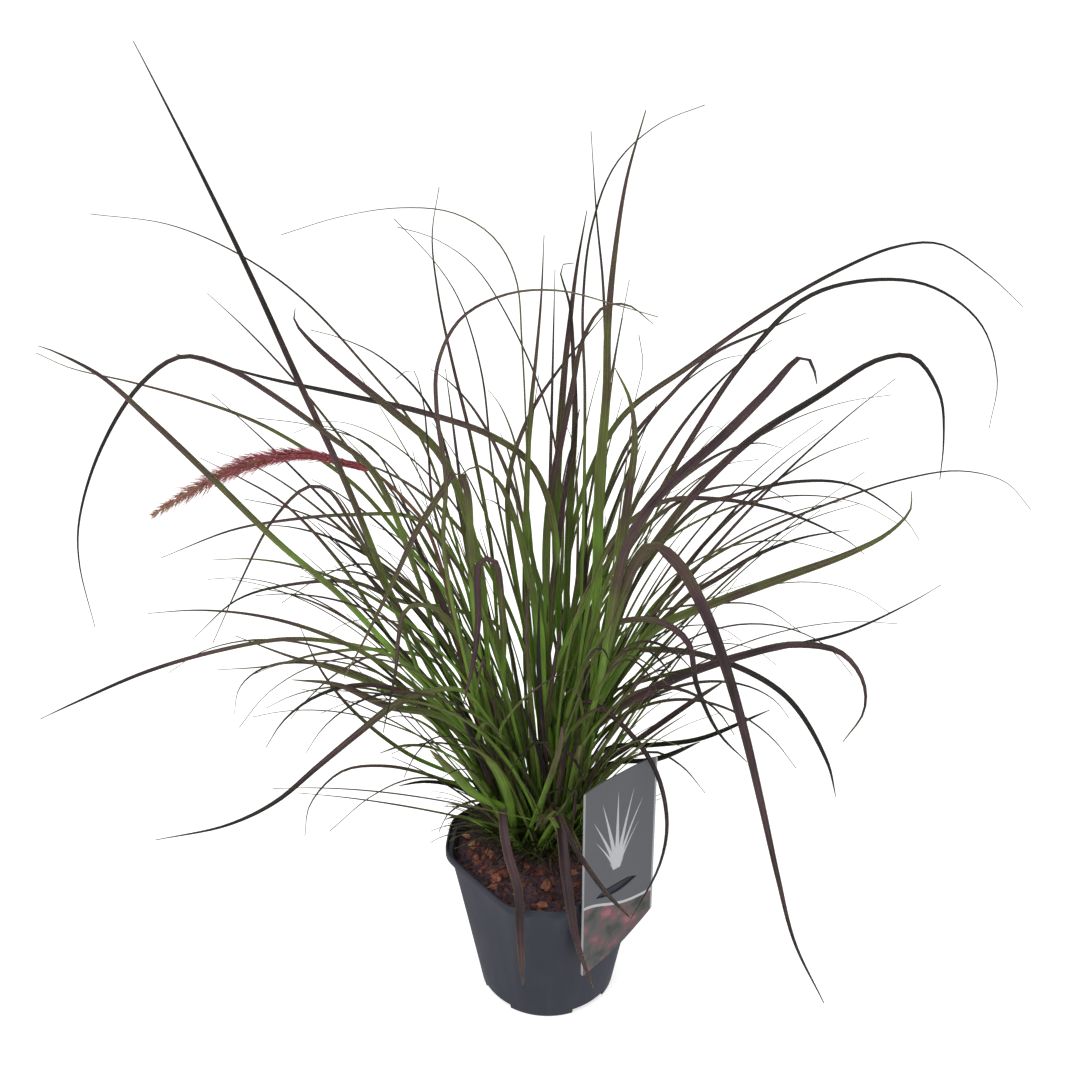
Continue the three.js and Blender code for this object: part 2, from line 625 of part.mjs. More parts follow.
// Further drawn blades, which grow from the stem nearest to where they start
const ADDED_BLADES = [
  { name: 'soil_left_arch', wide: 2, depth: -30,
    path: [[480, 795], [437, 778], [382, 766], [341, 772], [310, 805], [305, 836]] },
  { name: 'right_arch', wide: 2.3, depth: 105,
    path: [[604, 690], [632, 590], [695, 510], [733, 496], [795, 482], [850, 485], [905, 520], [919, 540]] },
  { name: 'green_left', wide: 2.8, depth: -45,
    path: [[462, 780], [406, 753], [351, 709], [320, 669], [298, 623]] },
  { name: 'red_low_right', wide: 2.4, depth: 20,
    path: [[600, 758], [638, 740], [695, 700], [726, 680]] },
  { name: 'olive_kink', wide: 4.4, depth: 70,
    path: [[562, 600], [570, 500], [575, 420], [573, 350], [570, 306], [561, 266], [574, 263]] },
  { name: 'small_arch', wide: 1.9, depth: -25,
    path: [[440, 690], [405, 625], [378, 575], [353, 528], [327, 490], [308, 487], [274, 519], [241, 581],
      [213, 643]] },
  { name: 'leaning_right', wide: 2.7, depth: 50,
    path: [[512, 640], [508, 490], [530, 415], [561, 367], [584, 339], [605, 314]] },
  { name: 'low_left_green', wide: 2.6, depth: 60,
    path: [[465, 710], [440, 665], [382, 650], [325, 653], [270, 666], [217, 670]] },
  { name: 'olive_right_high', wide: 3.3, depth: 75,
    path: [[600, 715], [640, 650], [688, 597], [719, 578], [753, 557], [802, 538], [850, 530]] },
  { name: 'low_arch_right', wide: 3.3, depth: 15,
    path: [[560, 740], [580, 680], [609, 655], [664, 650], [719, 660], [784, 695], [826, 760], [836, 798]] },
  { name: 'before_label', wide: 3.6, depth: -98, early: 0.8,
    path: [[566, 710], [586, 701], [619, 722], [654, 767], [667, 820], [660, 864], [631, 919]] },
  { name: 'over_rim_left', wide: 1.6, depth: -22,
    path: [[500, 795], [475, 801], [449, 813], [439, 832]] },
  { name: 'thin_far_right', wide: 2, depth: 60,
    path: [[640, 690], [720, 662], [795, 645], [850, 631], [912, 602], [941, 585]] },
  { name: 'purple_level', wide: 2.4, depth: 20,
    path: [[610, 640], [650, 615], [712, 604], [760, 606], [802, 633]] },
  { name: 'low_right_long', wide: 2.8, depth: 5,
    path: [[575, 765], [610, 748], [655, 745], [700, 739], [770, 710]] },
  { name: 'low_right_short', wide: 2.6, depth: -35,
    path: [[570, 785], [610, 765], [655, 760], [700, 742]] },
  { name: 'low_right_thread', wide: 1.2, depth: 30,
    path: [[600, 770], [650, 752], [680, 765], [705, 793]] },
  { name: 'low_right_hook', wide: 2.2, depth: 15,
    path: [[597, 720], [620, 695], [655, 672], [671, 668], [666, 662]] },
  { name: 'left_thread', wide: 1.2, depth: 60,
    path: [[430, 560], [400, 497], [370, 446], [308, 425], [256, 418]] },
  { name: 'left_sprig', wide: 1.6, depth: -15,
    path: [[452, 660], [410, 590], [365, 564], [321, 577], [282, 603]] },
  { name: 'left_low_curl', wide: 1.8, depth: 20,
    path: [[440, 690], [386, 655], [344, 669], [303, 704], [291, 719]] },
  { name: 'left_low_thread', wide: 1.8, depth: -55,
    path: [[455, 792], [417, 778], [372, 796], [330, 831]] },
  { name: 'small_hoop', wide: 1.6, depth: 20,
    path: [[462, 640], [434, 510], [428, 450], [422, 397], [411, 369], [396, 379]] },
  { name: 'thin_left_high', wide: 1.5, depth: 70,
    path: [[470, 560], [433, 415], [383, 359], [340, 338], [310, 330]] },
  { name: 'centre_bow_low', wide: 1.4, depth: 60,
    path: [[508, 660], [494, 480], [481, 371], [459, 300], [433, 260], [394, 219]] },
  { name: 'far_right_second', wide: 2, depth: 130,
    path: [[600, 560], [625, 450], [671, 395], [712, 355], [766, 330], [806, 313]] },
  { name: 'thin_right_upright', wide: 1.5, depth: 60,
    path: [[612, 560], [635, 403], [643, 365], [639, 335]] },
];

// The culm that carries the flower, and the flower's own axis, as pixels from low to high
const CULM_PATH = [[470, 700], [450, 600], [426, 526], [408, 503], [384, 480]];
const SPIKE_PATH = [[370, 470], [345, 463], [310, 455], [270, 458], [230, 471], [190, 492], [149, 517]];
const FLOWER_DEPTH = 12;

// What has been placed so far, and the test that keeps each new strand clear of it

const placed = [];

function remember(owner, solid) {
  placed.push({ owner, solid, bounds: solid.boundingBox() });
}

function boxesMeet(first, second) {
  const meet = (axis) => first.min[axis] <= second.max[axis] && second.min[axis] <= first.max[axis];
  return meet(0) && meet(1) && meet(2);
}

function isClear(owner, grownSolid) {
  const bounds = grownSolid.boundingBox();
  return bounds.min[2] > STRAND_FLOOR && placed.every((other) => {
    if (other.owner === owner || !boxesMeet(bounds, other.bounds)) return true;
    const shared = grownSolid.intersect(other.solid);
    const clear = shared.isEmpty();
    shared.delete();
    return clear;
  });
}

// Free root places lie on a sunflower spiral in the crown
function rootPlaces() {
  const places = [];
  const count = CROWN.stems + 1;
  for (let index = 0; index < count; index += 1) {
    const radius = CROWN.radius * Math.sqrt((index + 0.5) / count);
    const angle = THREE.MathUtils.degToRad(index * CROWN.goldenTurn);
    const x = CROWN.x + radius * Math.cos(angle);
    const y = CROWN.y + radius * Math.sin(angle);
    places.push(new THREE.Vector3(x, y, soilHeight(x, y)));
  }
  return places;
}

const freeRoots = rootPlaces();

// The free roots, nearest first to the point of the crown that a stem's foot leans out from
function rootsNearest(foot) {
  const centre = new THREE.Vector3(CROWN.x, CROWN.y, 0);
  const lean = foot.clone().setZ(0).sub(centre).multiplyScalar(CROWN.radius / CROWN.reach);
  const wanted = centre.add(lean.clampLength(0, CROWN.radius));
  const distance = (place) => Math.hypot(place.x - wanted.x, place.y - wanted.y);
  return freeRoots.sort((first, second) => distance(first) - distance(second)).slice(0, ROOTS_TRIED);
}

function takeRoot(root) {
  freeRoots.splice(freeRoots.indexOf(root), 1);
  return root;
}

// A point of a stem as built, which runs straight from station to station
function pointOnStem(stem, share) {
  const { stations } = stem.strand;
  const next = Math.max(1, stations.findIndex((station) => station.along >= share));
  const from = stations[next - 1];
  const to = stations[next];
  return from.point.clone().lerp(to.point, (share - from.along) / (to.along - from.along));
}

// The drawn pixels as points in space. Depth changes with the length seen, evenly or early on the way.
function placeDrawn(start, path, depth, early = 1) {
  const pixels = [pixelOf(start), ...path];
  const lengths = [0];
  for (let index = 1; index < pixels.length; index += 1) {
    const [across, down] = [0, 1].map((axis) => pixels[index][axis] - pixels[index - 1][axis]);
    lengths.push(lengths[index - 1] + Math.hypot(across, down));
  }
  const startDepth = start.dot(LEVEL);
  return path.map((pixel, index) => {
    const share = lengths[index + 1] / lengths[lengths.length - 1];
    return seenAtDepth(pixel, startDepth + (depth - startDepth) * share ** early);
  });
}

// The share of a curve's length that lies nearest to a point
function shareNearest(curve, point) {
  let best = 0;
  let nearest = Infinity;
  for (let step = 0; step <= 200; step += 1) {
    const distance = curve.getPointAt(step / 200).distanceTo(point);
    if (distance < nearest) {
      nearest = distance;
      best = step / 200;
    }
  }
  return best;
}

function makeStrand(curve, width, foot, spacing, facing, roll) {
  const stations = stationsAlong(curve, 0, spacing);
  const tangents = stations.map((station, index) => {
    const before = stations[Math.max(0, index - 1)].point;
    const after = stations[Math.min(stations.length - 1, index + 1)].point;
    return after.clone().sub(before).normalize();
  });
  const breadths = breadthsAlong(stations, tangents, facing, roll);
  return { width, foot, stations, tangents, breadths };
}

// Tries of the tip's depth, nearest first, that let a drawn blade pass the others
function depthTries() {
  const tries = [0];
  for (let step = 1; step <= DEPTH_TRIES.each; step += 1) {
    tries.push(step * DEPTH_TRIES.step, -step * DEPTH_TRIES.step);
  }
  return tries;
}

const stems = [];

// Beyond its foot a stem's strand passes over the soil, not through it
function isOverSoil(stations) {
  return stations.slice(2).every(({ point }) => (
    Math.hypot(point.x, point.y) > POT.shortFacetReach || point.z > soilHeight(point.x, point.y) + OVER_SOIL
  ));
}

function growStem(drawn) {
  const owner = `leafy_stem_${String(stems.length + 1).padStart(2, '0')}`;
  for (const root of rootsNearest(seenAtDepth(drawn.path[0], CROWN.y + drawn.depth * FOOT_DEPTH))) {
    const below = root.clone().setZ(root.z - STEM.depth);
    const above = root.clone().setZ(root.z + STEM.collar);
    for (const shift of depthTries()) {
      const placedPath = placeDrawn(above, drawn.path, drawn.depth + shift, drawn.early);
      const curve = smoothPath([below, above, ...placedPath]);
      const foot = shareNearest(curve, placedPath[0]);
      const strand = makeStrand(curve, drawn.wide, foot, STATIONS.drawn, FACING.drawn, 0);
      if (isOverSoil(strand.stations) && isClear(owner, strandSolid(strand, GAP))) {
        const solid = strandSolid(strand, 0);
        remember(owner, solid);
        stems.push({ owner, root: takeRoot(root), curve, foot, strand, solids: [solid] });
        return;
      }
    }
  }
  console.warn(`no clear way for ${drawn.name}`);
}

// A further drawn blade leaves the stem that passes nearest to its first point
function growAdded(drawn) {
  const ranked = stems.map((stem) => {
    const start = seenAtDepth(drawn.path[0], stem.root.dot(LEVEL));
    const share = Math.min(shareNearest(stem.curve, start), stem.foot);
    return { stem, share, distance: stem.curve.getPointAt(share).distanceTo(start) };
  }).sort((first, second) => first.distance - second.distance);
  for (const { stem, share } of ranked.slice(0, HOSTS_TRIED)) {
    for (const shift of depthTries()) {
      const lowest = (STEM.depth + STEM.collar + OVER_SOIL) / stem.curve.getLength();
      const low = Math.max(share - JOINED_BELOW / stem.curve.getLength(), lowest);
      const start = pointOnStem(stem, low);
      const placedPath = placeDrawn(start, drawn.path.slice(1), drawn.depth + shift, drawn.early);
      const curve = smoothPath([start, ...placedPath]);
      const strand = makeStrand(curve, drawn.wide, 0, STATIONS.drawn, FACING.drawn, 0);
      if (isClear(stem.owner, strandSolid(strand, GAP))) {
        const solid = strandSolid(strand, 0);
        remember(stem.owner, solid);
        stem.solids.push(solid);
        return;
      }
    }
  }
  console.warn(`no clear way for ${drawn.name}`);
}

// A blade of the mass: it leaves its stem close to the stem's line and arches over under its weight
function filledPath(stem, random, side) {
  const share = stem.foot * (FILL.lowest + (FILL.highest - FILL.lowest) * random());
  const start = pointOnStem(stem, share);
  const tangent = stem.curve.getTangentAt(share);
  const outward = Math.atan2(start.y - CROWN.y, start.x - CROWN.x);
  const heading0 = outward + side + (random() - 0.5) * FILL.scatter;
  const toCamera = Math.max(0, -Math.cos(heading0) * LEVEL.x - Math.sin(heading0) * LEVEL.y);
  const length = (FILL.short + (FILL.long - FILL.short) * random()) * (1 - FILL.frontCut * toCamera);
  const rise = Math.asin(THREE.MathUtils.clamp(tangent.z, 0, 1)) - FILL.leastPart - FILL.part * random();
  const droop = FILL.leastDroop + (FILL.mostDroop - FILL.leastDroop) * random() ** 1.5;
  const sweep = (random() - 0.5) * FILL.sweep;
  const power = 1.5 + random();
  const points = [start];
  const forward = tangent.clone();
  for (let step = 1; step <= FILL.steps; step += 1) {
    const along = (step - 0.5) / FILL.steps;
    const heading = heading0 + sweep * along;
    const climb = rise - droop * along ** power;
    const own = new THREE.Vector3(Math.cos(heading) * Math.cos(climb), Math.sin(heading) * Math.cos(climb),
      Math.sin(climb));
    forward.copy(tangent).lerp(own, Math.min(1, FILL.leave + along / FILL.leaves)).normalize();
    points.push(points[step - 1].clone().addScaledVector(forward, length / FILL.steps));
  }
  return points;
}

function growFilling(stem, blade, index) {
  for (let attempt = 0; attempt < FILL.attempts; attempt += 1) {
    const random = seededRandom(FILL.seed + index * 1000 + blade * 100 + attempt);
    const points = filledPath(stem, random, blade % 2 === 0 ? FILL.side : -FILL.side);
    const width = FILL.narrow + (FILL.wide - FILL.narrow) * random() ** FILL.slimness;
    const roll = (random() - 0.5) * FILL.roll;
    const strand = makeStrand(smoothPath(points), width, 0, STATIONS.filling, FACING.filling, roll);
    const tip = points[points.length - 1];
    const isHigh = tip.z > FILL.lowestTip && pixelOf(tip)[1] < FILL.lowestSeen;
    if (isHigh && isClear(stem.owner, strandSolid(strand, GAP))) {
      const solid = strandSolid(strand, 0);
      remember(stem.owner, solid);
      stem.solids.push(solid);
      return;
    }
  }
}

// The flower: a bare culm, and a bristly spike that begins where the culm ends

function rodSolid(curve, end, radii, sides, steps) {
  const rings = [];
  for (let step = 0; step <= steps; step += 1) {
    const share = end * step / steps;
    const point = curve.getPointAt(share);
    const tangent = curve.getTangentAt(share);
    const side = new THREE.Vector3(0, 1, 0).cross(tangent).normalize();
    const other = tangent.clone().cross(side);
    const ring = [];
    for (let corner = 0; corner < sides; corner += 1) {
      const angle = corner / sides * Math.PI * 2;
      const radius = radii(step / steps);
      const out = side.clone().multiplyScalar(radius * Math.cos(angle));
      ring.push(point.clone().add(out).addScaledVector(other, radius * Math.sin(angle)));
    }
    rings.push(ring);
  }
  return loft(rings);
}

function bristleSolid(base, direction, length) {
  const side = direction.clone().cross(UP).normalize();
  const other = direction.clone().cross(side);
  const corners = [0, 1, 2].map((corner) => {
    const angle = corner * Math.PI * 2 / 3;
    const out = side.clone().multiplyScalar(BRISTLE.width / 2 * Math.cos(angle));
    return base.clone().add(out).addScaledVector(other, BRISTLE.width / 2 * Math.sin(angle));
  });
  const tip = base.clone().addScaledVector(direction, length);
  const positions = [...corners, tip].flatMap((point) => point.toArray());
  return solidFromTriangles(positions, [0, 2, 1, 0, 1, 3, 1, 2, 3, 2, 0, 3]);
}

// How far the head swells at a share of its length: narrow at its foot, full in the middle
function spikeSwell(share) {
  return Math.sin(Math.PI * THREE.MathUtils.clamp(0.1 + 0.82 * share ** 0.8, 0, 1)) ** 0.7;
}

function spikeSolid(curve) {
  const radius = (share) => SPIKE.foot + SPIKE.core * spikeSwell(share);
  const parts = [rodSolid(curve, SPIKE.end, radius, SPIKE.sides, SPIKE.steps)];
  const random = seededRandom(SPIKE.seed);
  for (let bristle = 0; bristle < BRISTLE.count; bristle += 1) {
    const share = THREE.MathUtils.lerp(BRISTLE.first, BRISTLE.last, (bristle + 0.5) / BRISTLE.count);
    const around = bristle * THREE.MathUtils.degToRad(CROWN.goldenTurn);
    const tangent = curve.getTangentAt(share);
    const side = new THREE.Vector3(0, 1, 0).cross(tangent).normalize();
    const out = side.applyAxisAngle(tangent, around);
    const splay = BRISTLE.splay + BRISTLE.vary * random();
    const direction = tangent.clone().addScaledVector(out, splay).normalize();
    const fullness = (1 + spikeSwell(share)) / 2;
    const length = BRISTLE.length * fullness * (1 + BRISTLE.vary * (random() - 0.5));
    parts.push(bristleSolid(curve.getPointAt(share), direction, length));
  }
  return wasm.Manifold.union(parts);
}

// The whole plant, in the order in which its pieces claim their room

const chips = BARK_CHIPS.map((chip, index) => chipSolid(chip, index, 0));
const pot = potSolid();
const label = labelSolid();
remember('pot', pot);
remember('plant_label', label);
chips.forEach((chip, index) => remember(`bark_chip_${index + 1}`, chip));

const culmRoot = takeRoot(rootsNearest(seenAtDepth(CULM_PATH[0], CROWN.y))[0]);
const culmBelow = culmRoot.clone().setZ(culmRoot.z - STEM.depth);
const culmAbove = culmRoot.clone().setZ(culmRoot.z + STEM.collar);
const flowerPoints = placeDrawn(culmAbove, [...CULM_PATH, ...SPIKE_PATH], FLOWER_DEPTH);
const culmPoints = flowerPoints.slice(0, CULM_PATH.length + 1);
const culmCurve = smoothPath([culmBelow, culmAbove, ...culmPoints]);
const spikeCurve = smoothPath(flowerPoints.slice(CULM_PATH.length));
const culmEnd = 1 - 2 * GAP / culmCurve.getLength();
const culmSolid = (grown) => {
  const radius = (share) => THREE.MathUtils.lerp(CULM.base, CULM.top, share) + grown;
  return rodSolid(culmCurve, culmEnd, radius, CULM.sides, CULM.steps);
};
const culm = culmSolid(0);
const spike = spikeSolid(spikeCurve);
remember('flower_stem', culm);
remember('flower_spike', spike);

DRAWN_BLADES.forEach(growStem);
let soil = potCavity(GAP).intersect(soilUnderSurface()).subtract(drainBlocks(GAP));
remember('soil', soil);
ADDED_BLADES.forEach(growAdded);
for (let blade = 0; blade < FILL.perStem; blade += 1) {
  stems.forEach((stem, index) => growFilling(stem, blade, index));
}

chips.forEach((chip, index) => {
  soil = soil.subtract(chipSolid(BARK_CHIPS[index], index, GAP));
});
// Each stem stands in a plain hole of its own section, a gap wider all round
stems.forEach((stem) => {
  soil = soil.subtract(strandSolid(stem.strand, GAP));
});
const culmHole = culmSolid(GAP);
soil = largestPart(soil.subtract(culmHole.add(culmHole.translate([0, 0, -GAP]))));

const plant = new THREE.Group();
plant.add(meshFromSolid('pot', pot, '#4b4d58', 0.42));
plant.add(meshFromSolid('soil', soil, '#35261e', 0.95));
plant.add(meshFromSolid('plant_label', label, '#606164', 0.35));
chips.forEach((chip, index) => {
  plant.add(meshFromSolid(`bark_chip_${index + 1}`, chip, '#8a4a25', 0.9));
});
plant.add(meshFromSolid('flower_stem', culm, '#6a4038', 0.6));
plant.add(meshFromSolid('flower_spike', spike, '#8a2438', 0.9));
stems.forEach((stem) => {
  const whole = largestPart(wasm.Manifold.union(stem.solids));
  plant.add(meshFromSolid(stem.owner, whole, '#4c5a2c', 0.55));
});

export default plant;
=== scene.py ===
# %% [markdown]
# # Potted fountain grass
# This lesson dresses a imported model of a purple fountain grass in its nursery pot. The model's
# solids are kept as the frame, and each rough solid is replaced by a finer piece of the same form:
# thin folded blades for the leafy stems, bristles for the flower, crumbs and bark for the soil.
# Lengths in the tables are millimetres, as in the model's own source. Blender's are metres.

# %% The frame
import math

import bmesh
import bpy
import numpy as np
from mathutils import Euler, Matrix, Vector, noise


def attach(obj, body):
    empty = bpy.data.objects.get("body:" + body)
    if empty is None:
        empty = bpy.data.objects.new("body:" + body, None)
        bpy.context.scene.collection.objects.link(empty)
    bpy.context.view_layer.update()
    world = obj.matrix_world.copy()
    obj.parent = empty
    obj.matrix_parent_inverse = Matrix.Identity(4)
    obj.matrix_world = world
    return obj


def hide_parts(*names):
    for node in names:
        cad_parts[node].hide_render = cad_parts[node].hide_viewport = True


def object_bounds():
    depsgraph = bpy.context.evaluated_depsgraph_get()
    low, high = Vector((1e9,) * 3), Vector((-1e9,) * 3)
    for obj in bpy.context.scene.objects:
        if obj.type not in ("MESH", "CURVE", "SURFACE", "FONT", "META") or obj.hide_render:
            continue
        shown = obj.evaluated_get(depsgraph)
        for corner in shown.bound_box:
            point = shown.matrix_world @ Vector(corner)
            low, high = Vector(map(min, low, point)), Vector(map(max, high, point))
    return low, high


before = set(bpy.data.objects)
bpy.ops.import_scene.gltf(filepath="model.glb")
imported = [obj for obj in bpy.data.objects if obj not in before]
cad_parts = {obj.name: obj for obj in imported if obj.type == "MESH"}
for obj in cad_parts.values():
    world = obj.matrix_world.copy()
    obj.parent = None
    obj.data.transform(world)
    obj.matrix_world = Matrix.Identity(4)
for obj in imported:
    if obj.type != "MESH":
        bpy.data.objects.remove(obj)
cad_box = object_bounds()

MM = 0.001
print("frame:", len(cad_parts), "nodes, highest point", round(cad_box[1].z, 3), "m")

# %% [markdown]
# ## The camera
# The photograph looks down on the plant by about a third of a right angle. The camera comes first,
# because the blades are drawn along its lines of sight: a pixel of the photograph and a depth give
# a point in space. It is set up from plain numbers: how far it is turned, how far it looks down
# and where it stands.

# %% The photograph's camera
FRAME_PIXELS = 1080
FOCAL_PIXELS = 1950
MIDDLE_PIXEL = 540
SENSOR = 36
CLIP_END = 50
TURN = math.radians(6)
PITCH = math.radians(32.6)
EYE_BACK, EYE_LEFT, EYE_HEIGHT = 950, 5, 950
UP = np.array([0.0, 0.0, 1.0])
RIGHT = np.array([math.cos(TURN), math.sin(TURN), 0.0])
LEVEL = np.array([-math.sin(TURN), math.cos(TURN), 0.0])
AHEAD = LEVEL * math.cos(PITCH) - UP * math.sin(PITCH)
ABOVE = LEVEL * math.sin(PITCH) + UP * math.cos(PITCH)
EYE = LEVEL * -EYE_BACK + RIGHT * -EYE_LEFT + UP * EYE_HEIGHT

camera = bpy.data.objects.new("camera", bpy.data.cameras.new("camera"))
camera.data.lens = FOCAL_PIXELS / FRAME_PIXELS * SENSOR
camera.data.sensor_width = SENSOR
camera.data.clip_end = CLIP_END
axes = np.array([RIGHT, ABOVE, -AHEAD]).T
camera.matrix_world = Matrix.Translation(Vector(EYE * MM)) @ Matrix(axes.tolist()).to_4x4()
bpy.context.scene.collection.objects.link(camera)
bpy.context.scene.camera = camera
print("camera: lens", round(camera.data.lens, 1), "mm")

# %% Lines of sight


def seen_at_depth(pixel, depth):
    """The point seen at a pixel, at a depth measured level from the pot's axis."""
    across = (pixel[0] - MIDDLE_PIXEL) / FOCAL_PIXELS
    down = (pixel[1] - MIDDLE_PIXEL) / FOCAL_PIXELS
    ray = AHEAD + RIGHT * across - ABOVE * down
    return EYE + ray * ((depth - EYE @ LEVEL) / (ray @ LEVEL))


def pixel_of(point):
    ray = point - EYE
    scale = FOCAL_PIXELS / (ray @ AHEAD)
    return np.array([MIDDLE_PIXEL + scale * (ray @ RIGHT), MIDDLE_PIXEL - scale * (ray @ ABOVE)])


front_rim = np.array([0.0, -65.0, 113.0])
print("the pot's front rim is seen at pixel", pixel_of(front_rim).round())

# %% [markdown]
# ## Chance that repeats
# Real grass looks random, but the same script has to grow the same plant each time. A small
# generator with a seed gives the same numbers as the one in the model's source, so that each fine
# blade can be laid exactly where its solid lies.

# %% Seeded chance and small vector helpers
WORD = 0xFFFFFFFF
STRIDE = 0x6D2B79F5


def seeded_random(seed):
    state = seed & WORD

    def draw():
        nonlocal state
        state = (state + STRIDE) & WORD
        word = ((state ^ (state >> 15)) * (state | 1)) & WORD
        word ^= (word + (word ^ (word >> 7)) * (word | 61)) & WORD
        return ((word ^ (word >> 14)) & WORD) / (WORD + 1)

    return draw


def mixed(start, end, share):
    return start + (end - start) * share


def either_way(draw, spread):
    """A drawn number on either side of zero, with the given spread from end to end."""
    return (draw() - 0.5) * spread


def clamped(value, low=0.0, high=1.0):
    return min(max(value, low), high)


def smooth_step(value, low, high):
    share = clamped((value - low) / (high - low))
    return share * share * (3 - 2 * share)


def unit(vector):
    return vector / np.linalg.norm(vector)


def turned_about(vector, axis, angle):
    return (
        vector * math.cos(angle)
        + np.cross(axis, vector) * math.sin(angle)
        + axis * (axis @ vector) * (1 - math.cos(angle))
    )


def around(angle, radius=1.0):
    """A level vector from the middle outwards, at an angle."""
    return np.array([radius * math.cos(angle), radius * math.sin(angle), 0.0])


die = seeded_random(1)
print("three draws:", [round(die(), 4) for _ in range(3)])

# %% [markdown]
# ## Smooth paths
# A blade of grass has no corners, so its midrib is a smooth curve through a few points. The curve
# used here is a centripetal Catmull-Rom spline: it passes through each point and makes no loops
# where two points lie close together. It is read by the share of its length, so that stations can
# be spread evenly.

# %% A smooth path through points
LENGTH_STEPS = 200
NUDGE = 1e-4


class SmoothPath:
    """A curve through points. Shares may be one number or an array of them."""

    def __init__(self, points):
        points = np.array(points, float)
        self.count = len(points) - 1
        # One more point beyond each end, in line with the last two, gives the end tangents
        self.points = np.array([2 * points[0] - points[1], *points, 2 * points[-1] - points[-2]])
        self.gaps = np.sqrt(np.linalg.norm(np.diff(self.points, axis=0), axis=1))[:, None]
        self.parameters = np.arange(LENGTH_STEPS + 1) / LENGTH_STEPS
        steps = np.linalg.norm(np.diff(self.at(self.parameters), axis=0), axis=1)
        self.lengths = np.concatenate([[0.0], np.cumsum(steps)])
        self.length = self.lengths[-1]

    def at(self, parameter):
        place = self.count * np.asarray(parameter, float)
        index = np.minimum(place.astype(int), self.count - 1)
        weight = (place - index)[..., None]
        p0, p1, p2, p3 = (self.points[index + step] for step in range(4))
        gap0, gap1, gap2 = (self.gaps[index + step] for step in range(3))
        leave = ((p1 - p0) / gap0 - (p2 - p0) / (gap0 + gap1) + (p2 - p1) / gap1) * gap1
        arrive = ((p2 - p1) / gap1 - (p3 - p1) / (gap1 + gap2) + (p3 - p2) / gap2) * gap1
        square = -3 * p1 + 3 * p2 - 2 * leave - arrive
        cube = 2 * p1 - 2 * p2 + leave + arrive
        return p1 + weight * (leave + weight * (square + weight * cube))

    def parameter(self, share):
        return np.interp(np.clip(share, 0, 1) * self.length, self.lengths, self.parameters)

    def point(self, share):
        return self.at(self.parameter(share))

    def tangent(self, share):
        parameter = self.parameter(share)
        way = self.at(np.minimum(1, parameter + NUDGE)) - self.at(np.maximum(0, parameter - NUDGE))
        return way / np.linalg.norm(way, axis=-1, keepdims=True)


bow = SmoothPath([[0, 0, 0], [30, 0, 80], [90, 0, 90]])
print("a test bow is", round(bow.length), "mm long")

# %% [markdown]
# ## Colours and nodes
# Colours are written as the sRGB hex values that a colour picker gives, and one function turns
# them into the linear values that shaders work in. Another adds a node to a material, with its
# settings and what feeds it, and gives its output back, so that each material below reads as a
# short list.

# %% Colour and node helpers


def linear(hex_colour):
    values = [int(hex_colour[place:place + 2], 16) / 255 for place in (1, 3, 5)]
    return [v / 12.92 if v <= 0.04045 else ((v + 0.055) / 1.055) ** 2.4 for v in values] + [1.0]


def feed(node, inputs):
    """Feeds inputs, by name or number, each with another node's output or a plain value."""
    for name, value in inputs.items():
        if isinstance(value, bpy.types.NodeSocket):
            node.id_data.links.new(value, node.inputs[name])
        else:
            node.inputs[name].default_value = value


def add(tree, kind, inputs=(), output=0, stops=(), **settings):
    """Adds a node and gives one of its outputs. Inputs are a list in order, or go by name."""
    node = tree.nodes.new("ShaderNode" + kind)
    for name, value in settings.items():
        setattr(node, name, value)
    if stops:
        elements = node.color_ramp.elements
        while len(elements) < len(stops):
            elements.new(1.0)
        for element, (place, colour) in zip(elements, stops):
            element.position = place
            element.color = linear(colour) if isinstance(colour, str) else [colour] * 3 + [1.0]
    feed(node, inputs if isinstance(inputs, dict) else dict(enumerate(inputs)))
    return node.outputs[output]


def new_material(name, roughness, ior=1.5):
    material = bpy.data.materials.new(name)
    material.use_nodes = True
    shader = material.node_tree.nodes["Principled BSDF"]
    feed(shader, {"Roughness": roughness, "IOR": ior})
    return material, material.node_tree, shader


print("mid grey in linear light:", round(linear("#808080")[0], 3))

# %% [markdown]
# ## Building meshes
# Nearly every piece here is a loft: a row of rings with the same number of points, skinned from
# each to the next and closed at both ends. The helper below collects lofts into one mesh, with
# values for each point that the materials read later, and a tidy map in which each loft has a
# strip of its own.

# %% A mesh collected from lofts
# Free margins of each strip of the map, as shares of its breadth and of its height
SIDE_MARGIN = 0.08
END_MARGIN = 0.01


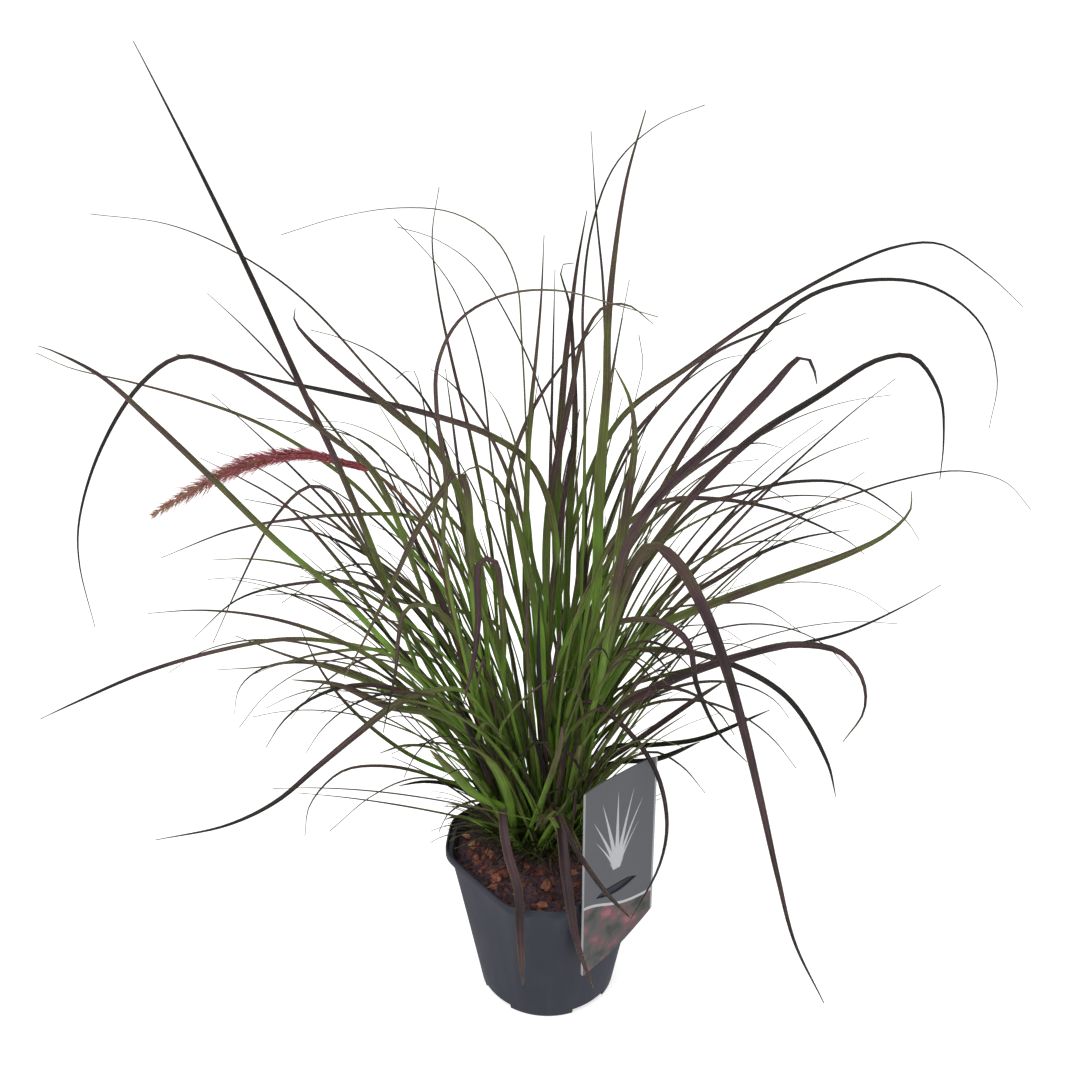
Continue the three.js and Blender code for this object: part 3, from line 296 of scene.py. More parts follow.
class Skin:
    """Points in mm, faces, a map place for each corner, and named values for each point."""

    def __init__(self):
        self.points, self.faces, self.maps = [], [], []
        self.values = {}
        self.strips = 0

    def add_points(self, points, values):
        start = len(self.points)
        self.points.extend(points)
        for name, value in values.items():
            column = self.values.setdefault(name, [])
            column.extend(value if np.ndim(value) else [value] * len(points))
        return start

    def loft(self, rings, **values):
        """Skins rings that run anticlockwise as seen from the last one, and closes both ends."""
        count, rows = len(rings[0]), len(rings)
        ends = [np.mean(rings[0], axis=0), np.mean(rings[-1], axis=0)]
        flat = {n: [*v, v[0], v[-1]] if np.ndim(v) else v for n, v in values.items()}
        start = self.add_points([*(p for ring in rings for p in ring), *ends], flat)
        strip = self.strips
        self.strips += 1
        for row in range(rows - 1):
            low, high = row / (rows - 1), (row + 1) / (rows - 1)
            for side in range(count):
                here = start + row * count + side
                after = start + row * count + (side + 1) % count
                self.faces.append((here, after, after + count, here + count))
                left, right = side / count, (side + 1) / count
                corners = [(left, low), (right, low), (right, high), (left, high)]
                self.maps.append((strip, corners))
        top = start + (rows - 1) * count
        first, last = start + rows * count, start + rows * count + 1
        for side in range(count):
            after = (side + 1) % count
            left, right = side / count, (side + 1) / count
            self.faces.append((first, start + after, start + side))
            self.faces.append((last, top + side, top + after))
            self.maps.append((strip, [(0.5, 0.0), (right, 0.0), (left, 0.0)]))
            self.maps.append((strip, [(0.5, 1.0), (left, 1.0), (right, 1.0)]))

    def solid(self, points, faces, **values):
        """Adds a closed form that is no loft. It has no place on the map."""
        start = self.add_points(points, values)
        self.faces.extend(tuple(start + corner for corner in face) for face in faces)
        self.maps.extend((None, None) for _ in faces)

    def piece(self, name, material, smooth_angle=None):
        mesh = bpy.data.meshes.new(name)
        mesh.from_pydata([tuple(p * MM) for p in np.array(self.points)], [], self.faces)
        for value_name, column in self.values.items():
            layer = mesh.attributes.new(value_name, "FLOAT", "POINT")
            layer.data.foreach_set("value", np.array(column, np.float32))
        if self.strips and all(strip is not None for strip, _ in self.maps):
            layer = mesh.uv_layers.new(name="OFBake")
            corners = []
            for strip, places in self.maps:
                corners.extend(
                    ((strip + mixed(SIDE_MARGIN, 1 - SIDE_MARGIN, u)) / self.strips,
                     mixed(END_MARGIN, 1 - END_MARGIN, v))
                    for u, v in places
                )
            layer.data.foreach_set("uv", np.array(corners, np.float32).ravel())
        return finished(name, mesh, material, smooth_angle)


def finished(name, mesh, material, smooth_angle=None):
    """Makes a piece of a mesh: smooth, with sharp edges where faces meet at more than an angle."""
    mesh.update()
    mesh.polygons.foreach_set("use_smooth", [True] * len(mesh.polygons))
    if smooth_angle is not None:
        mesh.set_sharp_from_angle(angle=math.radians(smooth_angle))
    mesh.materials.append(material)
    piece = bpy.data.objects.new(name, mesh)
    bpy.context.scene.collection.objects.link(piece)
    return piece


def stands_for(piece, slot, *nodes):
    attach(piece, "root")
    if nodes:
        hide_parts(*nodes)
    print(piece.name + ":", len(piece.data.polygons), "faces")


print("meshes are collected in millimetres and made in metres")

# %% [markdown]
# ## Moulded polypropylene
# The pot is polypropylene, injection moulded in a dark blue-grey. Moulding gives an even, slightly
# soft gloss with a faint grain from the tool, and handling leaves dusty scuffs and dried splashes.
# The colour is nearly even, so the life of the surface comes from its roughness: a fine grain and
# cloudy dust.

# %% Material of the pot
moulded_polypropylene, tree, shader = new_material(
    "moulded_polypropylene", roughness=0.42, ior=1.49)
place = add(tree, "TexCoord", output="Object")
# Dust clouds about 25 mm across, and grain of 0.6 mm, drawn coarser than the real 0.2 mm to show
dust = add(tree, "TexNoise", {"Vector": place, "Scale": 1 / 0.025, "Detail": 5})
grain = add(tree, "TexNoise", {"Vector": place, "Scale": 1 / 0.0006, "Detail": 1})
# Faint upright flow marks, about 6 mm apart and 110 mm long
stretched = add(tree, "Mapping", {"Vector": place, "Scale": (160, 160, 9)})
flow = add(tree, "TexNoise", {"Vector": stretched, "Scale": 1, "Detail": 3})
clouds = add(tree, "Mix", {0: 0.4, 2: dust, 3: flow}, data_type="FLOAT")
stops = [(0.3, "#232632"), (0.55, "#2a2d3b"), (0.78, "#373a49")]
feed(shader, {
    "Base Color": add(tree, "ValToRGB", [clouds], stops=stops),
    "Roughness": add(tree, "ValToRGB", [dust], stops=[(0.3, 0.36), (0.7, 0.52)]),
    "Normal": add(tree, "Bump", {"Height": grain, "Strength": 0.25, "Distance": 0.00008}),
})
print("pot material:", len(tree.nodes), "nodes")

# %% [markdown]
# ## The pot
# The rim is an octagon with four long and four short facets, and the base is a circle. The wall is
# one straight ruled surface from the circle to the octagon, so its facets fade out downwards.
# Rings with many points give the corners their small radius, and a few rings close together round
# the rim's edges.

# %% The pot's outline at any height
POT_HEIGHT = 113
SHORT_FACET_REACH = 65
LONG_SIDE_REACH = 58.3
BASE_RADIUS = 43.5
WALL = 1.2
FLOOR = 1.6
LEDGE = 3.6
LIP = 6
CORNER_SHARPNESS = 28
POT_POINTS = 144


def octagon_radius(angle, inset):
    total = 0
    for facet in range(8):
        reach = (LONG_SIDE_REACH if facet % 2 else SHORT_FACET_REACH) - inset
        facing = max(0.0, math.cos(angle - facet * math.pi / 4))
        total += (facing / reach) ** CORNER_SHARPNESS
    return total ** (-1 / CORNER_SHARPNESS)


def pot_ring(z, inset, shape_z=None):
    """The pot's outline at height z. shape_z is the height whose outline it takes."""
    rise = clamped((z if shape_z is None else shape_z) / (POT_HEIGHT - LIP))
    angles = [point / POT_POINTS * 2 * math.pi for point in range(POT_POINTS)]
    radii = [mixed(BASE_RADIUS, octagon_radius(a, LEDGE), rise) - inset for a in angles]
    return [around(a, r) + UP * z for a, r in zip(angles, radii)]


print("rim reach at a long side:", round(octagon_radius(math.pi / 4, 0), 1), "mm")

# %% Cutting one mesh with another


def lofted(name, rings):
    skin = Skin()
    skin.loft(rings)
    return skin.piece(name, moulded_polypropylene)


def block(name, size, place, turn=0.0):
    corners = [(-1, -1), (1, -1), (1, 1), (-1, 1)]
    half = [side / 2 for side in size]
    rings = []
    for height in (-1, 1):
        ring = [np.array([x * half[0], y * half[1], height * half[2]]) + place for x, y in corners]
        rings.append([np.array(Euler((0, 0, turn)).to_matrix() @ Vector(point)) for point in ring])
    return lofted(name, rings)


def cut(piece, cutter, operation="DIFFERENCE"):
    """Cuts a piece with another one by a boolean, applies it, and throws the cutter away."""
    modifier = piece.modifiers.new("cut", "BOOLEAN")
    modifier.operation = operation
    modifier.solver = "EXACT"
    modifier.object = cutter
    bpy.context.view_layer.update()
    evaluated = piece.evaluated_get(bpy.context.evaluated_depsgraph_get())
    result = bpy.data.meshes.new_from_object(evaluated)
    piece.modifiers.clear()
    piece.data = result
    bpy.data.objects.remove(cutter)


trial = block("trial", (30, 20, 10), np.zeros(3))
cut(trial, block("corner", (20, 20, 20), np.array([15, 10, 5])))
print("a block with one corner cut away has", len(trial.data.polygons), "faces")
bpy.data.objects.remove(trial)

# %% The pot's profiles: height and inset of each ring, and the height whose outline it takes
STEP = POT_HEIGHT - LIP
outer_profile = [
    (0, 1.3, 0), (0.25, 0.5, 0), (0.9, 0.1, 0.9), (2.2, 0, 2.2), (20, 0, 20), (50, 0, 50),
    (80, 0, 80), (STEP - 1.2, 0, STEP), (STEP - 0.5, -0.25, STEP), (STEP - 0.1, -0.9, STEP),
    (STEP, -LEDGE + 0.7, STEP), (STEP + 0.25, -LEDGE + 0.15, STEP), (STEP + 0.9, -LEDGE, STEP),
    (POT_HEIGHT - 0.8, -LEDGE, STEP), (POT_HEIGHT - 0.25, -LEDGE + 0.2, STEP),
    (POT_HEIGHT, -LEDGE + 0.6, STEP),
]
inner_profile = [
    (FLOOR, WALL + 1.5, FLOOR), (FLOOR + 0.4, WALL + 0.3, FLOOR), (FLOOR + 1.4, WALL, FLOOR + 1.4),
    (40, WALL, 40), (80, WALL, 80), (STEP + 0.6, WALL, STEP), (STEP + WALL, WALL - 0.5, STEP),
    (STEP + WALL + 0.1, WALL - LEDGE + 0.5, STEP), (STEP + WALL + 0.6, WALL - LEDGE, STEP),
    (POT_HEIGHT - 0.4, WALL - LEDGE, STEP), (POT_HEIGHT, WALL - LEDGE - 0.1, STEP),
    (POT_HEIGHT + 1, WALL - LEDGE - 0.4, STEP),
]
pot = lofted("nursery_pot", [pot_ring(*level) for level in outer_profile])
cavity = lofted("cavity", [pot_ring(*level) for level in inner_profile])
print("rings outside and inside:", len(outer_profile), len(inner_profile))

# %% The drain steps, the floor's holes and the front's recess
DRAIN_WIDTH = 26
DRAIN_HEIGHT = 4.2
DRAIN_INNER = 36
DRAIN_OUTER = 60
SLOT = (6, 9, 1.8)
HOLE_RADIUS = 3.2
HOLE_REACH = 21
HOLE_SIDES = 24
RECESS_ACROSS = 16
RECESS_LOW, RECESS_HIGH = 78, 92
RECESS_WIDTH = 4
RECESS_DEPTH = 0.6
# Edges sharper than this, in degrees, are shown sharp
POT_EDGE = 40
QUARTER_TURNS = [quarter * math.pi / 2 for quarter in range(4)]


def drain_step(turn, grown, below=0.0):
    """The room of a drain step in one long side, grown by a wall or a gap, and going below it."""
    inner, height = DRAIN_INNER - grown, DRAIN_HEIGHT + grown
    size = (DRAIN_OUTER - inner, DRAIN_WIDTH + 2 * grown, height + below)
    place = np.array([(inner + DRAIN_OUTER) / 2, 0, height - size[2] / 2])
    return block("step", size, place, math.pi / 4 + turn)


for turn in QUARTER_TURNS:
    cut(cavity, drain_step(turn, WALL))
cut(pot, cavity)
for turn in QUARTER_TURNS:
    cut(pot, drain_step(turn, 0, below=2))
    slot_place = np.array([DRAIN_INNER, 0, FLOOR + SLOT[2] / 2])
    cut(pot, block("slot", SLOT, slot_place, math.pi / 4 + turn))
    angles = [side / HOLE_SIDES * 2 * math.pi for side in range(HOLE_SIDES)]
    circle = [around(turn, HOLE_REACH) + around(angle, HOLE_RADIUS) for angle in angles]
    cut(pot, lofted("hole", [[point + UP * z for point in circle] for z in (-2, 4)]))
level = (RECESS_LOW + RECESS_HIGH) / 2
front = min(point[1] for point in pot_ring(level, 0))
size = (RECESS_WIDTH, RECESS_WIDTH, RECESS_HIGH - RECESS_LOW)
recess_place = np.array([RECESS_ACROSS, front + RECESS_DEPTH - RECESS_WIDTH / 2, level])
cut(pot, block("recess", size, recess_place))
pot.data.set_sharp_from_angle(angle=math.radians(POT_EDGE))
stands_for(pot, "pot_plastic", "pot")

# %% [markdown]
# ## The soil's surface and the places of the stems
# A clump of grass spreads from its crown, so the stems stand close together on a low mound a
# little behind the pot's middle. Their places follow a sunflower's spiral, which spreads points
# evenly over a disc. The height function here gives the large lumps, and finer crumbs are added
# to it later.

# %% The crown
SOIL_EDGE = 102.5
MOUND = 3
MOUND_RADIUS = 29
MOUND_SLOPE = 22
LUMPS = 1.2
CROWN = np.array([-5.0, 21.0, 0.0])
CROWN_RADIUS = 27
ROOT_COUNT = 49
GOLDEN_TURN = math.radians(137.508)


def soil_height(x, y):
    """The soil's surface without its crumbs. The lumps are the waves of the model's own soil."""
    slope = smooth_step(math.hypot(x - CROWN[0], y - CROWN[1]) - MOUND_RADIUS, 0, MOUND_SLOPE)
    lumps = math.sin(x * 0.31 + 1.2) * math.sin(y * 0.27 - 0.4)
    lumps += 0.6 * math.sin(x * 0.53 - y * 0.47)
    return SOIL_EDGE + MOUND * (1 - slope) + LUMPS * lumps * slope


def crown_point(angle, radius, rise=0.0):
    """A point of the soil at an angle and a radius from the crown's middle."""
    x, y = CROWN[0] + radius * math.cos(angle), CROWN[1] + radius * math.sin(angle)
    return np.array([x, y, soil_height(x, y) + rise])


roots = [
    crown_point(index * GOLDEN_TURN, CROWN_RADIUS * math.sqrt((index + 0.5) / ROOT_COUNT))
    for index in range(ROOT_COUNT)
]
print(len(roots), "root places, highest", round(max(root[2] for root in roots), 1), "mm")

# %% [markdown]
# ## The blades seen in the photograph
# Each row was read off the photograph: how wide the blade is at its widest, how far from
# the pot's axis its tip lies, how purple it is, how early on its way it takes its depth, and the
# pixels that its midrib passes on the way to the tip. The first table holds each stem's own
# leading blade, and the second one further blades that leave those stems.

# %% Leading blades: name, width in mm, depth of the tip in mm, purpleness, earliness, path
DRAWN_BLADES = [
    ("great_fall_right", 7, -130, 1.35, 1, [
        (596, 700), (615, 620), (638, 560), (653, 546), (678, 564), (704, 609), (726, 667),
        (745, 733), (762, 805), (778, 877), (795, 943), (824, 1003)]),
    ("broad_dark_right", 6.8, -45, 1.9, 1, [
        (560, 770), (605, 720), (643, 695), (691, 673), (747, 655), (795, 645), (840, 652),
        (863, 680), (864, 712), (843, 742)]),
    ("olive_right", 6.4, 0, 0.3, 1, [
        (585, 735), (620, 670), (657, 629), (719, 602), (788, 576), (850, 553), (888, 533),
        (910, 510), (911, 491)]),
    ("loop_right", 4.4, -60, 0.9, 1, [
        (575, 690), (600, 640), (619, 623), (660, 622), (688, 642), (697, 685), (719, 733),
        (747, 762)]),
    ("front_fall", 7, -96, 2.2, 0.6, [
        (549, 820), (556, 806), (561, 826), (566, 877), (571, 912), (578, 946), (593, 988)]),
    ("front_fall_left", 5.8, -94, 2.3, 0.6, [
        (505, 828), (503, 809), (503, 822), (508, 854), (518, 889), (520, 930), (523, 985)]),
    ("over_label", 3.2, -104, 2, 0.6, [
        (551, 815), (558, 812), (574, 846), (602, 888), (631, 919)]),
    ("green_front", 5.6, -60, -0.5, 0.8, [
        (520, 826), (510, 811), (478, 797), (455, 775), (430, 750)]),
    ("dry_front", 4, -52, 0.7, 0.7, [
        (543, 824), (557, 807), (567, 822), (575, 838), (583, 852)]),
    ("purple_fall", 4.6, -70, 0.35, 1, [
        (484, 690), (471, 566), (466, 488), (457, 471), (441, 493), (416, 533), (396, 576),
        (366, 637), (344, 678)]),
    ("purple_hanging", 3.6, -60, 0.35, 1, [
        (482, 715), (462, 640), (430, 607), (406, 609), (398, 640), (396, 667), (383, 733)]),
    ("low_left_purple", 5.6, -55, 0.5, 1, [
        (475, 745), (441, 717), (389, 707), (337, 685), (292, 680)]),
    ("purple_strip", 4.2, -45, 0.8, 1, [
        (505, 700), (502, 610), (492, 560), (480, 562), (478, 620), (473, 664), (463, 705)]),
    ("purple_hoop", 2.6, -30, 0.9, 1, [
        (470, 680), (444, 548), (446, 480), (437, 413), (438, 364), (462, 318), (509, 294),
        (560, 291), (616, 305), (658, 317)]),
    ("tall_left", 4.2, -20, 1, 1, [
        (436, 712), (398, 616), (371, 546), (341, 473), (300, 385), (250, 275), (200, 172),
        (143, 60), (133, 41)]),
    ("far_left_low", 4, -70, 0.2, 1, [
        (446, 712), (403, 664), (340, 596), (280, 545), (210, 477), (150, 420), (100, 376),
        (50, 350), (38, 346)]),
    ("far_left_high", 2.7, 45, 0.15, 1, [
        (474, 690), (449, 599), (413, 553), (366, 496), (327, 464), (260, 424), (199, 401),
        (130, 382), (70, 368), (36, 353)]),
    ("left_hook", 4, -35, 0.9, 1, [
        (452, 690), (415, 570), (371, 470), (330, 437), (266, 391), (226, 368), (182, 357),
        (141, 384), (100, 450), (79, 520), (79, 563), (95, 628)]),
    ("dark_crossing", 4.2, 75, 0.85, 1, [
        (548, 650), (556, 540), (532, 466), (491, 436), (424, 413), (350, 396), (270, 379),
        (225, 367), (176, 354)]),
    ("purple_left", 5, 40, 0.15, 1, [
        (492, 690), (478, 560), (440, 455), (391, 410), (341, 369), (310, 341), (294, 320),
        (295, 308)]),
    ("thread_left", 1.7, 100, 0.9, 1, [
        (478, 640), (450, 520), (416, 430), (366, 367), (300, 297), (240, 255), (170, 225),
        (90, 214)]),
    ("thread_arch", 1.2, 120, 0.7, 1, [
        (530, 640), (528, 500), (522, 347), (515, 276), (493, 237), (453, 213), (400, 208),
        (340, 217), (281, 235)]),
    ("upright_left", 2.5, 70, 0.5, 1, [
        (505, 690), (490, 540), (471, 440), (452, 362), (438, 294), (432, 235), (439, 187)]),
    ("centre_bow", 1.4, 110, 1, 1, [
        (560, 640), (562, 500), (545, 404), (506, 314), (472, 264), (433, 238), (397, 227)]),
    ("olive_fold", 5.5, -10, -0.2, 1, [
        (545, 700), (540, 632), (530, 582), (516, 524), (499, 483), (478, 466), (462, 474)]),
    ("level_left", 2.6, 20, 0.4, 1, [
        (480, 650), (455, 560), (416, 519), (350, 515), (289, 520), (233, 530), (161, 558)]),
    ("straight_left", 2.8, 10, 0.3, 1, [
        (452, 715), (390, 639), (340, 564), (285, 505), (240, 478), (200, 458)]),
    ("dark_arch_left", 2.9, 70, 0.6, 1, [
        (520, 700), (499, 627), (449, 609), (400, 601), (356, 583), (296, 584), (239, 599),
        (195, 637)]),
    ("lowest_far_left", 2.6, -45, 0.6, 1, [
        (470, 735), (430, 685), (393, 657), (340, 643), (286, 639), (220, 650), (145, 672),
        (76, 702), (40, 719)]),
    ("low_left_olive", 2.7, -15, 0.2, 1, [
        (450, 740), (393, 695), (331, 669), (286, 655), (236, 636)]),
    ("drooping_left", 4.4, -90, 1.1, 1, [
        (492, 725), (461, 691), (434, 691), (396, 704), (358, 733), (317, 767), (275, 802),
        (227, 825), (155, 840)]),
    ("centre_upright", 3.8, 60, 0.2, 1, [
        (532, 660), (526, 540), (530, 417), (536, 356), (541, 299), (544, 235)]),
    ("broad_green", 6.6, 20, 0.1, 1, [
        (590, 720), (597, 600), (600, 480), (607, 390), (608, 331), (615, 254), (627, 178),
        (646, 110)]),
    ("thread_right", 2, 100, 0.7, 1, [
        (580, 640), (584, 500), (585, 390), (583, 306), (592, 227), (616, 164), (659, 124),
        (705, 105)]),
    ("needle_top", 2.4, 130, 0.45, 1, [
        (585, 660), (604, 480), (606, 380), (603, 283), (597, 220), (591, 131)]),
    ("olive_upright", 5, 95, 0.35, 1, [
        (560, 660), (556, 520), (564, 377), (570, 321), (577, 266), (587, 210)]),
    ("purple_upright", 5, 15, 0.9, 1, [
        (548, 640), (548, 520), (572, 390), (584, 337), (604, 307), (627, 305), (653, 324)]),
    ("broad_olive", 6, -15, 0.2, 1, [
        (600, 690), (615, 600), (628, 500), (635, 440), (630, 400), (615, 368)]),
    ("far_right_high", 3.7, 80, 1, 1, [
        (566, 640), (575, 520), (620, 420), (693, 364), (770, 310), (840, 270), (896, 247),
        (939, 244), (986, 273), (1023, 307)]),
    ("right_hoop", 3.7, 30, 1.2, 1, [
        (592, 690), (620, 570), (658, 497), (700, 425), (743, 362), (800, 302), (850, 283),
        (923, 284), (979, 322), (997, 379), (989, 428)]),
    ("purple_kink", 6, -15, 1.2, 1, [
        (600, 680), (630, 540), (665, 490), (720, 440), (765, 395), (803, 357), (812, 364),
        (817, 384)]),
    ("dark_arc_right", 5.8, -55, 1.3, 1, [
        (596, 690), (625, 585), (655, 545), (690, 500), (750, 441), (820, 396), (879, 360),
        (913, 357), (940, 394), (944, 440), (940, 480)]),
    ("far_right_thread", 1.8, 65, 0.9, 1, [
        (610, 680), (650, 610), (690, 572), (747, 538), (836, 501), (901, 480), (959, 471),
        (1005, 482), (1031, 510)]),
    ("dark_level_right", 3.2, 25, 0.8, 1, [
        (580, 660), (610, 545), (660, 503), (712, 499), (781, 511), (846, 540), (864, 554)]),
]
print(len(DRAWN_BLADES), "leading blades")

# %% Further blades, with the same columns
ADDED_BLADES = [
    ("soil_left_arch", 2.4, -30, 0.5, 1, [
        (480, 795), (437, 778), (382, 766), (341, 772), (310, 805), (305, 836)]),
    ("right_arch", 3, 105, 0.9, 1, [
        (604, 690), (632, 590), (695, 510), (733, 496), (795, 482), (850, 485), (905, 520),
        (919, 540)]),
    ("green_left", 2.8, -45, 0.2, 1, [
        (462, 780), (406, 753), (351, 709), (320, 669), (298, 623)]),
    ("red_low_right", 3.9, 20, 2, 1, [
        (600, 758), (638, 740), (695, 700), (726, 680)]),
    ("olive_kink", 4.4, 70, 0.4, 1, [
        (562, 600), (570, 500), (575, 420), (573, 350), (570, 306), (561, 266), (574, 263)]),
    ("small_arch", 2.8, -25, 0.5, 1, [
        (440, 690), (405, 625), (378, 575), (353, 528), (327, 490), (308, 487), (274, 519),
        (241, 581), (213, 643)]),
    ("leaning_right", 3.6, 50, 0.4, 1, [
        (512, 640), (508, 490), (530, 415), (561, 367), (584, 339), (605, 314)]),
    ("low_left_green", 2.5, 60, 0.1, 1, [
        (465, 710), (440, 665), (382, 650), (325, 653), (270, 666), (217, 670)]),
    ("olive_right_high", 4, 75, 0.5, 1, [
        (600, 715), (640, 650), (688, 597), (719, 578), (753, 557), (802, 538), (850, 530)]),
    ("low_arch_right", 4.2, 15, 1.2, 1, [
        (560, 740), (580, 680), (609, 655), (664, 650), (719, 660), (784, 695), (826, 760),
        (836, 798)]),
    ("before_label", 3.2, -98, 2.2, 0.8, [
        (566, 710), (586, 701), (619, 722), (654, 767), (667, 820), (660, 864), (631, 919)]),
    ("over_rim_left", 2, -22, 0.3, 1, [
        (500, 795), (475, 801), (449, 813), (439, 832)]),
    ("thin_far_right", 2.8, 60, 1.6, 1, [
        (640, 690), (720, 662), (795, 645), (850, 631), (912, 602), (941, 585)]),
    ("purple_level", 1.6, 20, 1, 1, [
        (610, 640), (650, 615), (712, 604), (760, 606), (802, 633)]),
    ("low_right_long", 3.3, 5, 1.6, 1, [
        (575, 765), (610, 748), (655, 745), (700, 739), (770, 710)]),
    ("low_right_short", 4.2, -35, 1.6, 1, [
        (570, 785), (610, 765), (655, 760), (700, 742)]),
    ("low_right_thread", 1.9, 30, 1, 1, [
        (600, 770), (650, 752), (680, 765), (705, 793)]),
    ("low_right_hook", 3.2, 15, 0.9, 1, [
        (597, 720), (620, 695), (655, 672), (671, 668), (666, 662)]),
    ("left_thread", 1.5, 60, 0.7, 1, [
        (430, 560), (400, 497), (370, 446), (308, 425), (256, 418)]),
    ("left_sprig", 1.7, -15, 0.6, 1, [
        (452, 660), (410, 590), (365, 564), (321, 577), (282, 603)]),
    ("left_low_curl", 1.8, 20, 0.6, 1, [
        (440, 690), (386, 655), (344, 669), (303, 704), (291, 719)]),
    ("left_low_thread", 1.3, -55, 0.6, 1, [
        (455, 792), (417, 778), (372, 796), (330, 831)]),
    ("small_hoop", 2, 20, 0.6, 1, [
        (462, 640), (434, 510), (428, 450), (422, 397), (411, 369), (396, 379)]),
    ("thin_left_high", 2.2, 70, 0.9, 1, [
        (470, 560), (433, 415), (383, 359), (340, 338), (310, 330)]),
    ("centre_bow_low", 1.6, 60, 0.9, 1, [
        (508, 660), (494, 480), (481, 371), (459, 300), (433, 260), (394, 219)]),
    ("far_right_second", 2.7, 130, 0.5, 1, [
        (600, 560), (625, 450), (671, 395), (712, 355), (766, 330), (806, 313)]),
    ("thin_right_upright", 1.2, 60, 0.3, 1, [
        (612, 560), (635, 403), (643, 365), (639, 335)]),
]
print(len(ADDED_BLADES), "further blades")

# %% How some of the drawn blades end, and how dark they turn
# Blades that keep their width to the end, because they were cut, broken or folded over there
BLUNT = [
    "over_label", "front_fall_left", "green_front", "purple_left", "purple_kink", "far_left_low",
    "lowest_far_left", "red_low_right", "low_right_short", "low_right_long", "low_arch_right",
    "far_right_second", "purple_strip", "dry_front",
]
# Blades that are drawn out long and thin from their middle on
SLENDER = [
    "right_hoop", "left_hook", "drooping_left", "dark_arc_right", "broad_dark_right",
    "purple_upright", "far_right_high", "centre_upright", "broad_green", "great_fall_right",
]
# Blades that stay olive brown (0.5) or maroon (0.7) to their tips, where others turn nearly black
DARKEST = {
    "broad_olive": 0.5, "dry_front": 0.52, "front_fall": 0.77, "front_fall_left": 0.74,
    "great_fall_right": 0.8, "broad_dark_right": 0.8, "over_label": 0.85, "before_label": 0.9,
    "purple_upright": 0.66, "purple_strip": 0.68, "purple_kink": 0.8, "red_low_right": 0.72,
    "purple_fall": 0.6, "low_left_purple": 0.62, "purple_hoop": 0.66, "olive_right": 0.5,
}
print(len(BLUNT), "blunt,", len(SLENDER), "slender and", len(DARKEST), "paler blades")

# %% [markdown]
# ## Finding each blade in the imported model
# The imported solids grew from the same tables, and each blade was pushed nearer or further until it
# cleared the others. Those choices aren't in the tables, but the solids show them: a blade that
# was kept has the three corners of its last section round its tip. So each possible tip is tried,
# and the first one that a solid confirms is the blade's own.

# %% Looking for a tip in a solid
STEM_DEPTH = 12
COLLAR = 2.5
# A tip is confirmed when three corners of a solid lie within this distance of it, in mm
TIP_REACH = 0.65
DEPTH_STEP = 6
DEPTH_TRIES = 16
DEPTHS = [0]
for tried in range(1, DEPTH_TRIES + 1):
    DEPTHS += [DEPTH_STEP * tried, -DEPTH_STEP * tried]


def corners_of(name):
    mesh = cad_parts[name].data
    places = np.empty(len(mesh.vertices) * 3, np.float32)
    mesh.vertices.foreach_get("co", places)
    return places.reshape(-1, 3).astype(float) / MM


stem_names = [name for name in sorted(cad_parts) if name.startswith("leafy_stem")]
solids = {name: corners_of(name) for name in stem_names}


def ends_at(name, tip):
    return np.partition(np.linalg.norm(solids[name] - tip, axis=1), 2)[2] < TIP_REACH


def root_under(corners):
    """The root place that lies nearest to a corner of a stem's solid."""
    def gap(root):
        return np.linalg.norm(corners - (root - UP * STEM_DEPTH), axis=1).min()
    return min(roots, key=gap)


print(len(solids), "leafy stems in the model")

# %% Placing the drawn pixels in space
NEAREST_STEPS = 200
BEND_STEPS = 96
# How a solid's stations are spaced: by length in mm, by bend in radians, their least and most
DRAWN_SPACING = (62, 0.5, 4, 12)
FILLED_SPACING = (72, 0.55, 4, 7)


def place_drawn(start, path, depth, early=1.0):
    """Depth changes with the length seen, evenly or early on the way."""
    pixels = np.array([pixel_of(start), *path])
    lengths = np.cumsum(np.linalg.norm(np.diff(pixels, axis=0), axis=1))
    begin = start @ LEVEL
    shares = (lengths / lengths[-1]) ** early
    return [seen_at_depth(pixel, begin + (depth - begin) * s) for pixel, s in zip(path, shares)]


def share_nearest(path, point):
    shares = np.arange(NEAREST_STEPS + 1) / NEAREST_STEPS
    return shares[np.argmin(np.linalg.norm(path.point(shares) - point, axis=1))]


def stations_along(path, length, bend, least, most):
    """A solid's stations: the share of the length and the point of each, closer at bends."""
    fine_shares = np.linspace(0, 1, BEND_STEPS + 1)
    fine = path.point(fine_shares)
    chords = np.diff(fine, axis=0)
    sizes = np.linalg.norm(chords, axis=1)
    cosines = (chords[1:] * chords[:-1]).sum(axis=1) / (sizes[1:] * sizes[:-1])
    bends = np.concatenate([[0], np.arccos(np.clip(cosines, -1, 1))])
    cost = np.concatenate([[0], np.cumsum(sizes / length + bends / bend)])
    wanted = np.linspace(0, cost[-1], int(clamped(round(cost[-1]), least, most)) + 1)
    shares = np.interp(wanted, cost, fine_shares)
    return shares, np.array([np.interp(wanted, cost, fine[:, axis]) for axis in range(3)]).T


print("depth is tried at", len(DEPTHS), "places for each blade")

# %% [markdown]
# ## How a blade turns as it arches
# A long blade lies with its breadth level across its arch and twists a little, so one sees its
# edge here and its face there. The direction of the breadth is carried on from station to
# station, so that it never flips over.

# %% Breadths
CARRIED = 0.35
DRAWN_FACING = 0.7
FILLED_FACING = 0.25
# A blade that reaches less far out than this, in mm, has no bearing of its own
LEAST_REACH = 5


def square_to(tangent, vector):
    return unit(vector - tangent * (vector @ tangent))


